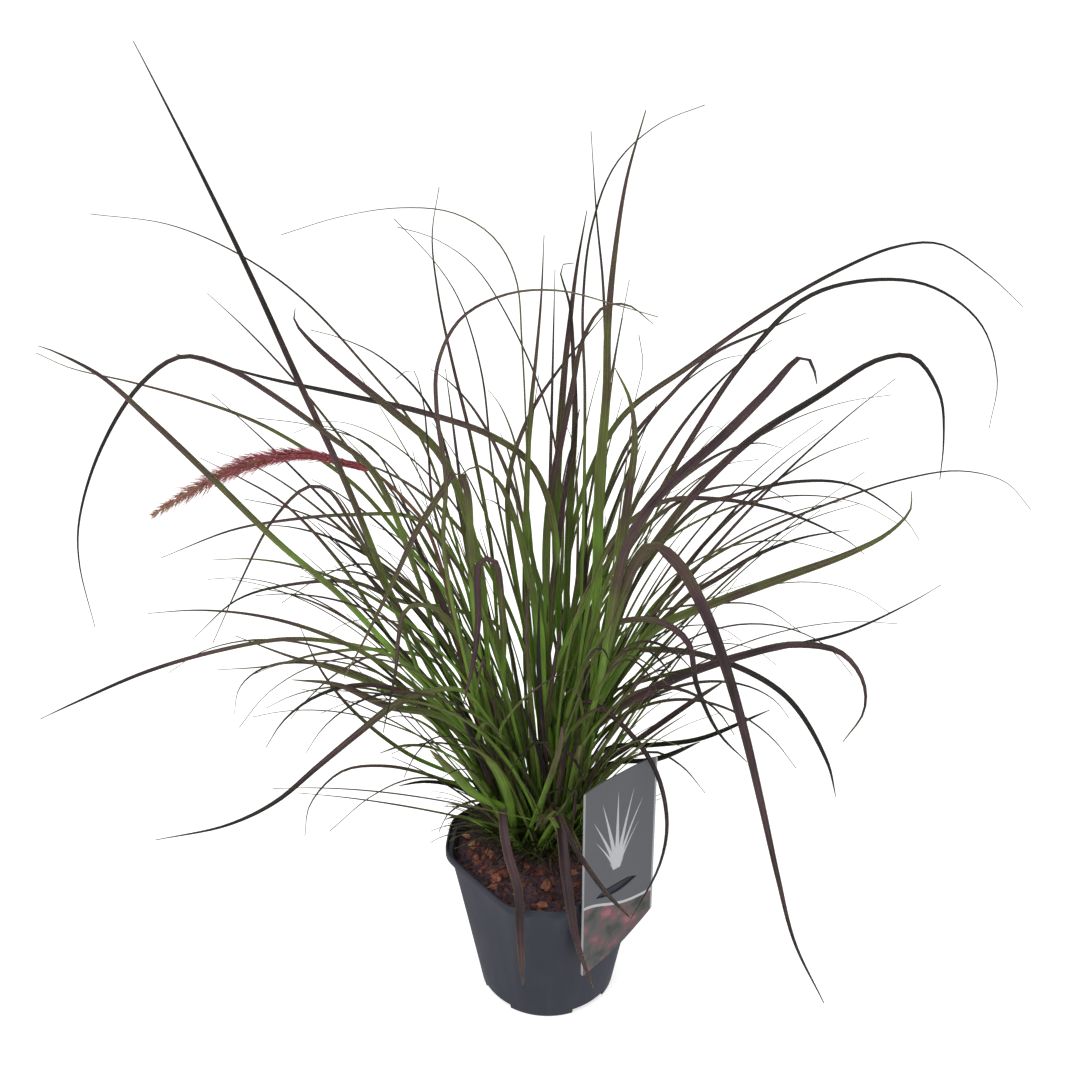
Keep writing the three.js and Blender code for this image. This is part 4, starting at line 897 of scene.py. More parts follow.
def breadths_along(shares, points, facing, roll):
    ends = np.concatenate([points[:1], points, points[-1:]])
    bearing = (points[-1] - points[0]) * [1, 1, 0]
    level = unit(np.cross(UP, bearing if np.linalg.norm(bearing) >= LEAST_REACH else RIGHT))
    carried, made = level, []
    for share, point, before, after in zip(shares, points, ends[:-2], ends[2:]):
        tangent = unit(after - before)
        carried = square_to(tangent, carried)
        flat = level - tangent * (level @ tangent)
        seen = unit(np.cross(tangent, point - EYE))
        flat = flat if flat @ carried >= 0 else -flat
        seen = seen if seen @ carried >= 0 else -seen
        wanted = flat * (1 - facing) + seen * facing
        carried = square_to(tangent, carried * CARRIED + wanted * (1 - CARRIED))
        made.append(turned_about(carried, tangent, roll * (1 - share)))
    return np.array(made)


print("breadths face the camera by", DRAWN_FACING, "on drawn blades")

# %% A blade's path, breadths and colour
# How suddenly a blade's end closes: the power of its taper
BLUNT_TAPER, USUAL_TAPER, SLENDER_TAPER = 5, 2, 1.4


class Blade:
    """A blade's path and stations. Its foot is the share of the path where it leaves a stem."""

    def __init__(self, points, width, foot, spacing, facing, roll, purple):
        self.path = SmoothPath(points)
        self.width, self.purple, self.taper, self.darkest = width, purple, USUAL_TAPER, 1.0
        self.foot = share_nearest(self.path, foot) if foot is not None else 0.0
        self.shares, self.points = stations_along(self.path, *spacing)
        self.breadths = breadths_along(self.shares, self.points, facing, roll)

    def between_stations(self, share, rows):
        return np.array([np.interp(share, self.shares, rows[:, axis]) for axis in range(3)])

    def built(self, share):
        """The point of its solid at a share: the solid runs straight from station to station."""
        return self.between_stations(share, self.points)

    def breadth(self, share, tangent):
        return square_to(tangent, self.between_stations(share, self.breadths))


def drawn_blade(name, points, width, foot, purple):
    """A blade of the tables, with its own taper and its own darkest colour."""
    blade = Blade(points, width, foot, DRAWN_SPACING, DRAWN_FACING, 0, purple)
    if name in BLUNT:
        blade.taper = BLUNT_TAPER
    elif name in SLENDER:
        blade.taper = SLENDER_TAPER
    blade.darkest = DARKEST.get(name, 1.0)
    return blade


print("tapers:", BLUNT_TAPER, USUAL_TAPER, SLENDER_TAPER)

# %% The leading blade of each stem
leaders = {}
for stem_name, (name, width, depth, purple, early, path) in zip(stem_names, DRAWN_BLADES):
    found = [shift for shift in DEPTHS
             if ends_at(stem_name, seen_at_depth(path[-1], depth + shift))]
    root = root_under(solids[stem_name])
    above = root + UP * COLLAR
    placed = place_drawn(above, path, depth + found[0], early)
    points = [root - UP * STEM_DEPTH, above, *placed]
    leaders[stem_name] = drawn_blade(name, points, width, placed[0], purple)
    leaders[stem_name].root = root
print("leading blades found:", len(leaders))

# %% The further blades
OVER_SOIL = 2.5
JOINED_BELOW = 14
grown = {stem_name: [] for stem_name in stem_names}


def added_blade(name, host, width, depth, purple, early, path):
    """A further blade, which leaves its host a little below the first pixel that shows it."""
    stem, length = leaders[host], leaders[host].path.length
    start = seen_at_depth(path[0], stem.root @ LEVEL)
    share = min(share_nearest(stem.path, start), stem.foot)
    low = max(share - JOINED_BELOW / length, (STEM_DEPTH + COLLAR + OVER_SOIL) / length)
    begin = stem.built(low)
    placed = place_drawn(begin, path[1:], depth, early)
    blade = drawn_blade(name, [begin, *placed], width, None, purple)
    blade.leaves_at, blade.course = low, placed
    return blade


for name, width, depth, purple, early, path in ADDED_BLADES:
    tips = [(seen_at_depth(path[-1], depth + shift), shift) for shift in DEPTHS]
    # Two drawn blades can share their last pixel, so a host's own tip doesn't count
    found = [(host, shift) for tip, shift in tips for host in stem_names
             if ends_at(host, tip) and np.linalg.norm(leaders[host].points[-1] - tip) > 1]
    for host, shift in found[:1]:
        grown[host].append(added_blade(name, host, width, depth + shift, purple, early, path))
print("further blades found:", sum(map(len, grown.values())))

# %% [markdown]
# ## The mass of other blades
# Behind the blades that can be told apart in the photograph stands a mass of others. The model
# grew each of them by chance, from a seed made of its stem's number and its own, with up to forty
# attempts. The same draws are made again here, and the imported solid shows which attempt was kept.

# %% The rule by which the mass grew
FILL_STEPS = 10
# Shares of the stem's free length between which a blade leaves it, and its length in mm
FILL_LEAVES = (0.45, 0.98)
FILL_LENGTH = (150, 300)
FRONT_CUT = 0.45
# Turns in radians: scatter of the heading, parting from the stem, droop on the way and sidesweep
FILL_SCATTER = 1.6
FILL_PARTING = (0.1, 0.25)
FILL_DROOP = (0.2, 2.3)
FILL_SWEEP = 0.9
# A blade keeps to its stem's line at first, and is on its own way after this share of its length
FILL_OWN, FILL_OWN_WAY = 0.6, 0.3


def direction(heading, climb):
    """The way ahead at a heading and a climb, both in radians."""
    return around(heading, math.cos(climb)) + UP * math.sin(climb)


def filled_path(stem, draw, side):
    """A blade leaves its stem close to the stem's line and arches over under its own weight."""
    share = stem.foot * mixed(*FILL_LEAVES, draw())
    start = stem.built(share)
    tangent = stem.path.tangent(share)
    outward = math.atan2(start[1] - CROWN[1], start[0] - CROWN[0])
    heading = outward + side + either_way(draw, FILL_SCATTER)
    to_camera = max(0.0, -math.cos(heading) * LEVEL[0] - math.sin(heading) * LEVEL[1])
    length = mixed(*FILL_LENGTH, draw()) * (1 - FRONT_CUT * to_camera)
    rise = math.asin(clamped(tangent[2])) - FILL_PARTING[0] - FILL_PARTING[1] * draw()
    droop = mixed(*FILL_DROOP, draw() ** 1.5)
    sweep = either_way(draw, FILL_SWEEP)
    power = 1.5 + draw()
    points = [start]
    for step in range(FILL_STEPS):
        along = (step + 0.5) / FILL_STEPS
        own = direction(heading + sweep * along, rise - droop * along ** power)
        forward = unit(mixed(tangent, own, min(1, FILL_OWN + along / FILL_OWN_WAY)))
        points.append(points[-1] + forward * length / FILL_STEPS)
    return share, points


print("a blade of the mass is up to", FILL_LENGTH[1], "mm long")

# %% The mass
FILL_SEED = 41000
ATTEMPTS = 40
BLADES_PER_STEM = 3
FILL_SIDE = 0.25
FILL_WIDTH = (1.5, 3.9)
FILL_ROLL = 2.2
GREENER, PURPLER = (0.0, 0.5), (0.5, 0.9)

filled = 0
for round_number in range(BLADES_PER_STEM):
    side = FILL_SIDE if round_number % 2 == 0 else -FILL_SIDE
    for index, name in enumerate(stem_names):
        for attempt in range(ATTEMPTS):
            draw = seeded_random(FILL_SEED + index * 1000 + round_number * 100 + attempt)
            share, points = filled_path(leaders[name], draw, side)
            if ends_at(name, points[-1]):
                width = mixed(*FILL_WIDTH, draw() ** 1.4)
                roll = either_way(draw, FILL_ROLL)
                chosen = GREENER if draw() < 0.5 else PURPLER
                purple = mixed(*chosen, draw())
                blade = Blade(points, width, None, FILLED_SPACING, FILLED_FACING, roll, purple)
                blade.leaves_at, blade.course = share, points[1:]
                grown[name].append(blade)
                filled += 1
                break
print("blades of the mass found:", filled)

# %% [markdown]
# ## The form of a blade
# Near its root a stem is a round bundle of sheaths. A blade opens out of its sheath, widens over
# its first third and then tapers to a fine point. It is a thin sheet, folded along the midrib,
# about half a millimetre thick there and thinner at its edges. Twelve points round each section
# are enough: they form a circle on the stem and a folded sheet on the blade, and change gently
# from one to the other.

# %% Widths and sections of a blade
# Where a blade is widest, as a share of its length, and the least width anywhere, in mm
WIDEST = 0.34
LEAST_WIDTH = 0.5
# A blade's foot is as narrow as its sheath, but no narrower than this share of its greatest width
FOOT_WIDTH = 1.7
FOOT_SHARE = 0.42
TIP_CLOSING = 0.9
# Thickness at the midrib in mm, how much of it is gone at the edge, and how round the fold is
THICKNESS = 0.42
EDGE_THINNING = 0.6
FOLD_POWER = 1.25
# Places across the blade, from its right edge over the top to the left edge and back below
ACROSS = [1, 0.72, 0.4, 0, -0.4, -0.72, -1, -0.72, -0.4, 0, 0.4, 0.72]
ROUND_POINTS = len(ACROSS)
UPPER_SIDE = range(1, ROUND_POINTS // 2)


def blade_width(width, along, taper):
    """A blade's width at a share of its length. A high taper keeps it broad nearly to its end."""
    foot = max(FOOT_SHARE, min(1, FOOT_WIDTH / width))
    opened = foot + (1 - foot) * math.sin(clamped(along / WIDEST) * math.pi / 2)
    closing = clamped((along - WIDEST) / (1 - WIDEST))
    return max(LEAST_WIDTH, width * opened * (1 - TIP_CLOSING * closing ** taper))


def section(half, lift, keel, radius, stemness):
    """Points (across, up) of one section: a folded sheet, a circle or a form between them."""
    points = []
    for index, place in enumerate(ACROSS):
        angle = index / ROUND_POINTS * 2 * math.pi
        thick = THICKNESS * (1 - EDGE_THINNING * abs(place)) * min(1, half)
        low = -keel + (lift + keel) * abs(place) ** FOLD_POWER
        up = low + thick if index in UPPER_SIDE else low + thick / 2 if abs(place) == 1 else low
        flat = np.array([place * half, up])
        points.append(mixed(flat, around(angle)[:2] * radius, stemness))
    return points


edge_places = [round(float(point[0]), 2) for point in section(3.5, 0.9, 0.8, 1, 0)]
print("widest section of a 7 mm blade:", edge_places[:4])

# %% The skin of a blade
STEM_RADIUS = 1.45
STEM_FOOT_SWELL = 1.15
SHEATH_RADIUS = 1.75
SHEATH_LENGTH = 16
STATION_STEP = 6.5
LEAST_STATIONS = 10
# A sheath opens between these shares of its own length, and a leader round the end of its stem
SHEATH_OPENS = (0.5, 1.9)
LEADER_OPENS = (-0.1, 0.1)
# Depth of the fold below the midrib line at foot and tip in mm, and the most as a share of half
KEEL_FOOT, KEEL_TIP, KEEL_MOST = 0.85, 0.4, 0.35
LIFT_SHARE, LIFT_LEAST = 0.22, 0.15
# The model's box, less a tenth of a millimetre: the broader blades still keep to it
LIMITS = [np.array(corner) / MM + inward for corner, inward in zip(cad_box, (0.1, -0.1))]


def skin_blade(skin, blade, course, foot, sheath, chance):
    """Adds a blade as one loft. foot is the share where a leading blade leaves its stem."""
    count = max(LEAST_STATIONS, math.ceil(course.length / STATION_STEP))
    rings, along_values, across_values, stem_values = [], [], [], []
    for station in range(count + 1):
        share = station / count
        tangent = course.tangent(share)
        middle = course.point(share)
        across = blade.breadth(share, tangent)
        face = np.cross(tangent, across)
        along = (share - foot) / (1 - foot)
        if foot:
            stemness = 1 - smooth_step(along, *LEADER_OPENS)
            radius = mixed(STEM_RADIUS * STEM_FOOT_SWELL, STEM_RADIUS, clamped(share / foot))
        else:
            opens = [sheath * end for end in SHEATH_OPENS]
            stemness = 1 - smooth_step(share * course.length, *opens)
            radius = SHEATH_RADIUS
        half = blade_width(blade.width, along, blade.taper) / 2
        keel = min(mixed(KEEL_FOOT, KEEL_TIP, clamped(along)), half * KEEL_MOST)
        ring = section(half, half * LIFT_SHARE + LIFT_LEAST, keel, radius, stemness)
        rings.append([np.clip(middle + across * a + face * u, *LIMITS) for a, u in ring])
        along_values += [clamped(along)] * ROUND_POINTS
        across_values += [a for a, u in ring]
        stem_values += [stemness] * ROUND_POINTS
    skin.loft(rings, along=along_values, across=across_values, stem=stem_values,
              purple=blade.purple, darkest=blade.darkest, chance=chance)


print("stations of a blade lie", STATION_STEP, "mm apart")

# %% [markdown]
# ## Living leaf
# This grass is green low down and in the shade of the clump, olive where it arches, and dark
# purple to nearly black at its sunlit tips. The colour comes from three things: how purple the
# whole blade is, how far along it one looks, and chance. Fine parallel veins half a millimetre
# apart run its whole length, the midrib is paler, and the surface has the satin gloss of leaf wax.

# %% Values that the leaf's colour is made of
living_leaf, tree, shader = new_material("living_leaf", roughness=0.4, ior=1.42)
along, across, purple, chance, stem, darkest = (
    add(tree, "Attribute", output="Fac", attribute_name=name)
    for name in ("along", "across", "purple", "chance", "stem", "darkest"))
# Streaks along the blade: 0.5 mm across, and each about a third of the blade long
place = add(tree, "CombineXYZ", [
    add(tree, "Math", [across, 2.0], operation="MULTIPLY"),
    add(tree, "Math", [along, 3.0], operation="MULTIPLY"),
    add(tree, "Math", [chance, 90.0], operation="MULTIPLY"),
])
streaks = add(tree, "TexNoise", {"Vector": place, "Scale": 1.0, "Detail": 2})
# Blotches about 30 mm across
where = add(tree, "TexCoord", output="Object")
blotches = add(tree, "TexNoise", {"Vector": where, "Scale": 1 / 0.03, "Detail": 3})
# Every blade is green at its foot and ripens towards its tip. The more purple it is, the riper it
# is at its foot and the faster it ripens
RIPENING, PURPLE_RIPENING, PURPLE_FOOT = 0.75, 0.45, 0.12
BLOTCHINESS, STREAKINESS = 0.5, 0.35
pace = add(tree, "Math", [purple, PURPLE_RIPENING, RIPENING], operation="MULTIPLY_ADD")
sooner = add(tree, "Math", [along, pace], operation="MULTIPLY")
ripe = add(tree, "Math", [purple, PURPLE_FOOT, sooner], operation="MULTIPLY_ADD")
ripe = add(tree, "Math", [ripe, darkest], operation="MINIMUM")
for pattern, strength in ((blotches, BLOTCHINESS), (streaks, STREAKINESS)):
    centred = add(tree, "Math", [pattern, 0.5], operation="SUBTRACT")
    push = add(tree, "Math", [centred, strength], operation="MULTIPLY")
    ripe = add(tree, "Math", [ripe, push], operation="ADD")
print("ripeness:", len(tree.nodes), "nodes")

# %% Colour and surface of the leaf
stops = [(0.0, "#8eb746"), (0.2, "#6a8a37"), (0.4, "#5c6333"), (0.56, "#4f4433"),
         (0.7, "#4d343d"), (0.9, "#272021")]
leaf = add(tree, "ValToRGB", [ripe], stops=stops)
# The midrib: a paler line 0.7 mm wide, which fades as the blade ripens
aside = add(tree, "Math", [across], operation="ABSOLUTE")
rib = add(tree, "MapRange", {"Value": aside, "From Min": 0.2, "From Max": 0.45,
                             "To Min": 0.25, "To Max": 0.0})
hidden = add(tree, "Math", [stem, ripe], operation="MAXIMUM")
shown = add(tree, "Math", [1.0, hidden], operation="SUBTRACT")
rib = add(tree, "Math", [rib, shown], operation="MULTIPLY")
leaf = add(tree, "Mix", {0: rib, 6: leaf, 7: linear("#8f8f62")}, 2, data_type="RGBA")
# Sheaths are paler and reddish
stops = [(0.0, "#6f9038"), (0.5, "#5f6e30"), (1.0, "#4a3a34")]
sheath_colour = add(tree, "ValToRGB", [purple], stops=stops)
stem_share = add(tree, "Math", [stem, 0.75], operation="MULTIPLY")
leaf = add(tree, "Mix", {0: stem_share, 6: leaf, 7: sheath_colour}, 2, data_type="RGBA")
feed(shader, {
    "Base Color": leaf,
    "Roughness": add(tree, "MapRange", {"Value": streaks, "To Min": 0.34, "To Max": 0.55}),
    "Normal": add(tree, "Bump", {"Height": streaks, "Strength": 0.5, "Distance": 0.0001}),
    "Specular IOR Level": 0.3,
    # Light shines through a leaf, so those in the clump's shade still glow green
    "Subsurface Weight": 0.25,
    "Subsurface Radius": (0.0006, 0.001, 0.0003),
    "Subsurface Scale": 1.0,
})
print("leaf material:", len(tree.nodes), "nodes")

# %% The leafy stems
LEAF_SEED = 900
for index, name in enumerate(stem_names):
    skin = Skin()
    leader = leaders[name]
    die = seeded_random(LEAF_SEED + index)
    skin_blade(skin, leader, leader.path, leader.foot, 0, die())
    for blade in grown[name]:
        before = max(0.0, blade.leaves_at - SHEATH_LENGTH / leader.path.length)
        ends = [leader.path.point(before), leader.path.point(blade.leaves_at)]
        course = SmoothPath([*ends, *blade.course])
        skin_blade(skin, blade, course, 0, SHEATH_LENGTH, die())
    piece = skin.piece("grass_" + name, living_leaf)
    stands_for(piece, "grass_blade", name)

# %% [markdown]
# ## Young leaves and dead shoots
# The heart of a real clump is packed with young leaves that stand nearly upright, far too many to
# be told apart. Round its foot lie short shoots and dead leaves, some green and some purple, bent
# down over the soil. Both are grown here by the same rule: a heading, a climb, and a droop that
# grows along the way.

# %% A blade grown by a rule
GROWN_STEPS = 8
DROOP_POWER = 1.8
# The room of the label, beyond one long side of the rim: its middle, its half and its top in mm
LABEL_MIDDLE, LABEL_HALF, LABEL_TOP = 6.5, 33, 210
LABEL_INSIDE = 3
# The way out of that long side, and the way along it
WAY_OUT, WAY_ALONG = [0.7071, -0.7071], [0.7071, 0.7071]


def grown_blade(start, heading, climb, droop, sweep, length, width, purple, roll):
    points = [start]
    for step in range(GROWN_STEPS):
        along = (step + 0.5) / GROWN_STEPS
        way = direction(heading + sweep * along, climb - droop * along ** DROOP_POWER)
        points.append(points[-1] + way * length / GROWN_STEPS)
    return Blade(points, width, None, FILLED_SPACING, FILLED_FACING, roll, purple)


def is_off_label(blade):
    """Whether a blade stays on the plant's side of the label."""
    outward, aside = (blade.points[:, :2] @ way for way in (WAY_OUT, WAY_ALONG))
    beyond = outward > LONG_SIDE_REACH - LABEL_INSIDE
    beyond &= np.abs(aside - LABEL_MIDDLE) < LABEL_HALF
    beyond &= blade.points[:, 2] < LABEL_TOP
    return not beyond.any()


def leaf_piece(name, blades, seed, sheath):
    skin = Skin()
    die = seeded_random(seed)
    for blade in blades:
        skin_blade(skin, blade, blade.path, 0, sheath, die())
    stands_for(skin.piece(name, living_leaf), "grass_blade")


trial = grown_blade(crown_point(0, 5), heading=0, climb=1.2, droop=0.9, sweep=0, length=200,
                    width=4, purple=0, roll=0)
print("a trial blade of 200 mm rises by", round(trial.points[-1][2] - trial.points[0][2]), "mm")

# %% Young leaves in the heart of the clump
YOUNG_LEAVES = 140
YOUNG_PIECES = 4
YOUNG_SHEATH = 6
YOUNG_REACH = CROWN_RADIUS * 0.98
# Lengths and widths in mm. The outer leaves are shorter by a share of this
YOUNG_LENGTH, YOUNG_WIDTH = (110, 330), (1.4, 6.4)
OUTER_CUT = 0.3
# Nearly upright in the middle, and leaning out by up to so many degrees at the edge
UPRIGHT, OUTER_LEAN = 88, 34
YOUNG_SCATTER, YOUNG_SWEEP, YOUNG_ROLL = 2.6, 1.3, 2.4
YOUNG_DROOP = (0.05, 0.9)
# Four in five are green, and the fifth is purple
GREEN_SHARE, GREEN, PURPLE = 0.8, (-0.5, 0.5), (0.8, 1.6)
YOUNG_SEED, YOUNG_SKIN_SEED = 31, 40

die = seeded_random(YOUNG_SEED)
young = []
for leaf in range(YOUNG_LEAVES):
    radius, turned = YOUNG_REACH * math.sqrt(die()), die() * 2 * math.pi
    outward = radius / CROWN_RADIUS
    heading = turned + either_way(die, YOUNG_SCATTER)
    climb = math.radians(UPRIGHT - OUTER_LEAN * outward * mixed(0.4, 1, die()))
    length = mixed(*YOUNG_LENGTH, die() ** 1.2) * (1 - OUTER_CUT * outward)
    width = mixed(*YOUNG_WIDTH, die() ** 1.7)
    tint = GREEN if die() < GREEN_SHARE else PURPLE
    purple = mixed(*tint, die())
    droop, sweep = mixed(*YOUNG_DROOP, die() ** 1.5), either_way(die, YOUNG_SWEEP)
    start = crown_point(turned, radius, rise=-4)
    blade = grown_blade(start, heading, climb, droop, sweep, length, width, purple,
                        roll=either_way(die, YOUNG_ROLL))
    if is_off_label(blade):
        young.append(blade)
for part in range(YOUNG_PIECES):
    leaf_piece(f"young_leaves_{part + 1}", young[part::YOUNG_PIECES], YOUNG_SKIN_SEED + part,
               YOUNG_SHEATH)

# %% Shoots and dead leaves at the foot
SHOOTS = 190
SHOOT_SHEATH = 2
# Two in three stand at the clump's open front, between these bearings in degrees
FRONT_SHARE, FRONT, ALL_ROUND = 0.66, (175, 350), (0, 360)
# Shares of the crown's radius, degrees of climb, and lengths and widths in mm
SHOOT_REACH, SHOOT_CLIMB = (0.6, 1.12), (15, 70)
SHOOT_LENGTH, SHOOT_WIDTH = (15, 62), (0.8, 2.2)
SHOOT_PURPLE, SHOOT_DROOP = (0.0, 1.6), (0.3, 1.3)
SHOOT_SCATTER, SHOOT_SWEEP, SHOOT_ROLL = 1.5, 1.4, 2
LEAST_TIP_RISE = 3
SHOOT_SEED, SHOOT_SKIN_SEED = 57, 58

die = seeded_random(SHOOT_SEED)
shoots = []
for shoot in range(SHOOTS):
    bearings = FRONT if die() < FRONT_SHARE else ALL_ROUND
    turned = math.radians(mixed(*bearings, die()))
    radius = CROWN_RADIUS * mixed(*SHOOT_REACH, die())
    heading = turned + either_way(die, SHOOT_SCATTER)
    climb = math.radians(mixed(*SHOOT_CLIMB, die()))
    length = mixed(*SHOOT_LENGTH, die() ** 1.3)
    purple = mixed(*SHOOT_PURPLE, die())
    droop, sweep = mixed(*SHOOT_DROOP, die()), either_way(die, SHOOT_SWEEP)
    width = mixed(*SHOOT_WIDTH, die() ** 1.8)
    start = crown_point(turned, radius, rise=0.5)
    blade = grown_blade(start, heading, climb, droop, sweep, length, width, purple,
                        roll=either_way(die, SHOOT_ROLL))
    if blade.points[-1][2] > SOIL_EDGE + LEAST_TIP_RISE and is_off_label(blade):
        shoots.append(blade)
leaf_piece("foot_shoots", shoots, SHOOT_SKIN_SEED, SHOOT_SHEATH)

# %% [markdown]
# ## The soil
# Potting soil is dark, moist peat with fibres and shreds of bark. Its surface is broken into
# crumbs of one to four millimetres, and its colour changes from near black in the hollows to
# red-brown on the dry crumbs. The surface is modelled as rings that close in from the wall, raised
# and lowered by noise of real crumb size, over one closed solid that fills the pot to its floor.

# %% Material of the soil
peat, tree, shader = new_material("peat", roughness=0.92, ior=1.4)
place = add(tree, "TexCoord", output="Object")
# Crumbs 4 mm across, and moister patches 18 mm across
crumbs = add(tree, "TexNoise", {"Vector": place, "Scale": 1 / 0.004, "Detail": 6})
patches = add(tree, "TexNoise", {"Vector": place, "Scale": 1 / 0.018, "Detail": 2})
both = add(tree, "Mix", {0: 0.35, 2: crumbs, 3: patches}, data_type="FLOAT")
stops = [(0.3, "#2b2328"), (0.5, "#4f3f45"), (0.62, "#6a4f52"), (0.78, "#865f57")]
feed(shader, {
    "Base Color": add(tree, "ValToRGB", [both], stops=stops),
    "Normal": add(tree, "Bump", {"Height": crumbs, "Strength": 0.8, "Distance": 0.0008}),
})
print("peat:", len(tree.nodes), "nodes")

# %% The soil's solid
SOIL_GAP = 0.35
SOIL_FOOT, SOIL_MIDDLE = FLOOR + 0.3, 60
SOIL_RINGS = 62
# The soil is smooth for a little way in from the wall, and sinks there by a millimetre
RIM_START = 0.93
# Crumbs have settled a little below the smooth surface
SETTLED = 0.9
# Height and breadth of the crumbs of three sizes, in mm
CRUMBS = [(1.5, 4.5), (0.9, 1.9), (0.5, 0.9)]


def crumb_height(x, y):
    spot = Vector((x, y, 0.0))
    return sum(height * noise.noise(spot / breadth) for height, breadth in CRUMBS)


def soil_ring(share):
    ring = []
    for point in pot_ring(SOIL_EDGE, WALL + SOIL_GAP):
        x, y = point[0] * share, point[1] * share
        rim = 1 - smooth_step(share, RIM_START, 1.0)
        z = soil_height(x, y) + crumb_height(x, y) * rim - (1 - rim) - SETTLED
        ring.append(np.array([x, y, z]))
    return ring


rings = [pot_ring(level, WALL + SOIL_GAP) for level in (SOIL_FOOT, SOIL_MIDDLE)]
rings += [soil_ring(1 - step / SOIL_RINGS) for step in range(SOIL_RINGS)]
skin = Skin()
skin.loft(rings)
soil = skin.piece("potting_soil", peat)
for turn in QUARTER_TURNS:
    cut(soil, drain_step(turn, WALL + SOIL_GAP))
stands_for(soil, "potting_soil", "soil")

# %% [markdown]
# ## Bark
# Pine bark breaks into flat, layered chunks with an orange-brown inner face and greyish edges. The
# large chips stand for the model's own, and are ball meshes pressed flat, with noise of two sizes
# that gives them broken edges and ledges. Hundreds of small shreds and peat crumbs are then strewn
# over the soil.

# %% Material of the bark
pine_bark, tree, shader = new_material("pine_bark", roughness=0.85, ior=1.45)
place = add(tree, "TexCoord", output="Object")
# Layers that flake off in scales about 3.5 mm across. Their raised parts also take the painted
# highlight
layers = add(tree, "TexNoise", {"Vector": place, "Scale": 1 / 0.0035, "Detail": 5})
tone = add(tree, "Attribute", output="Fac", attribute_name="tone")
both = add(tree, "Mix", {0: 0.6, 2: layers, 3: tone}, data_type="FLOAT")
# The palest orange is partly the inner bark's own colour and partly a painted highlight of wet gloss
stops = [(0.15, "#301e20"), (0.42, "#5c3632"), (0.62, "#8a5143"), (0.85, "#c69473")]
feed(shader, {
    "Base Color": add(tree, "ValToRGB", [both], stops=stops),
    "Normal": add(tree, "Bump", {"Height": layers, "Strength": 0.7, "Distance": 0.0005}),
})
print("bark:", len(tree.nodes), "nodes")

# %% Broken forms
# Fineness of the lumps and ledges on a ball of radius 1, and how strong the ledges are
LUMP_FINENESS, LEDGE_FINENESS, LEDGE_SHARE = 1.4, 2.6, 0.5


def ball(detail):
    """The points and faces of a ball of radius 1, made of nearly equal triangles."""
    made = bmesh.new()
    bmesh.ops.create_icosphere(made, subdivisions=detail, radius=1)
    points = [np.array(corner.co) for corner in made.verts]
    faces = [[corner.index for corner in face.verts] for face in made.faces]
    made.free()
    return points, faces


def broken(points, seed, rough, low, high):
    """Makes points rough and fits them into a box, so that a chip keeps its solid's size."""
    shift = Vector((seed * 7.1, seed * 3.3, seed * 1.7))
    moved = []
    for point in points:
        spot = Vector(point)
        lumps = noise.noise(spot * LUMP_FINENESS + shift)
        ledges = noise.cell(spot * LEDGE_FINENESS + shift)
        moved.append(point * (1 + rough * (lumps + LEDGE_SHARE * ledges)))
    moved = np.array(moved)
    least, most = moved.min(axis=0), moved.max(axis=0)
    return list(low + (moved - least) / (most - least) * (high - low))


print("a fine ball has", len(ball(4)[0]), "points")

# %% The large chips
CHIP_ROUGH = 0.45
# A chip stays just inside its solid's own size
CHIP_SHARE = 0.97
CHIP_TONE, CHIP_TONE_STEP = 0.6, 0.06
BARK_EDGE = 35
ball_points, ball_faces = ball(4)
for name in sorted(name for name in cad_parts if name.startswith("bark_chip")):
    chip_corners = corners_of(name)
    centre = chip_corners.mean(axis=0)
    # The chip's own long, middle and short directions, from the spread of its solid's corners
    spread, directions = np.linalg.eigh(np.cov((chip_corners - centre).T))
    own = (chip_corners - centre) @ directions
    number = int(name[-1])
    low, high = own.min(axis=0) * CHIP_SHARE, own.max(axis=0) * CHIP_SHARE
    points = [centre + directions @ p for p in broken(ball_points, number, CHIP_ROUGH, low, high)]
    skin = Skin()
    skin.solid(points, ball_faces, tone=CHIP_TONE + CHIP_TONE_STEP * number)
    stands_for(skin.piece("pine_" + name, pine_bark, BARK_EDGE), "bark", name)

# %% Middling pieces of bark
PIECES = 170
# Half a piece's length in mm, and the shares of it that its breadth and its thickness have
PIECE_SIZE, PIECE_BREADTH, PIECE_THICKNESS = (1.8, 4.6), (0.5, 0.8), (0.3, 0.5)
PIECE_ROUGH, PIECE_TILT, PIECE_SUNK = 0.5, 0.9, 0.4
PIECE_MARGIN = 2
PIECE_TONE = (0.1, 0.6)
# Larger pieces are paler, by this much for each millimetre
SIZE_TONE = 0.12
ANY_TURN = 6.3
PIECE_SEED, PIECE_FORM_SEED = 61, 20


def soil_place(angle, share, margin):
    """The x and y of a point at a share of the way from the middle to a margin at the wall."""
    reach = share * (octagon_radius(angle, LEDGE) - WALL - margin)
    return reach * math.cos(angle), reach * math.sin(angle)


coarse_points, coarse_faces = ball(3)
die = seeded_random(PIECE_SEED)
skin = Skin()
for number in range(PIECES):
    angle, share = die() * 2 * math.pi, math.sqrt(mixed(0.1, 1, die()))
    size = mixed(*PIECE_SIZE, die() ** 2)
    x, y = soil_place(angle, share, size + PIECE_MARGIN)
    breadth, thickness = mixed(*PIECE_BREADTH, die()), mixed(*PIECE_THICKNESS, die())
    half = size * np.array([1, breadth, thickness])
    tilt = either_way(die, PIECE_TILT), either_way(die, PIECE_TILT), die() * ANY_TURN
    turn = np.array(Euler(tilt).to_matrix())
    centre = np.array([x, y, soil_height(x, y) - SETTLED + half[2] * PIECE_SUNK])
    chip = broken(coarse_points, PIECE_FORM_SEED + number, PIECE_ROUGH, -half, half)
    tone = mixed(*PIECE_TONE, die()) + SIZE_TONE * (size - PIECE_SIZE[0])
    skin.solid([centre + turn @ point for point in chip], coarse_faces, tone=tone)
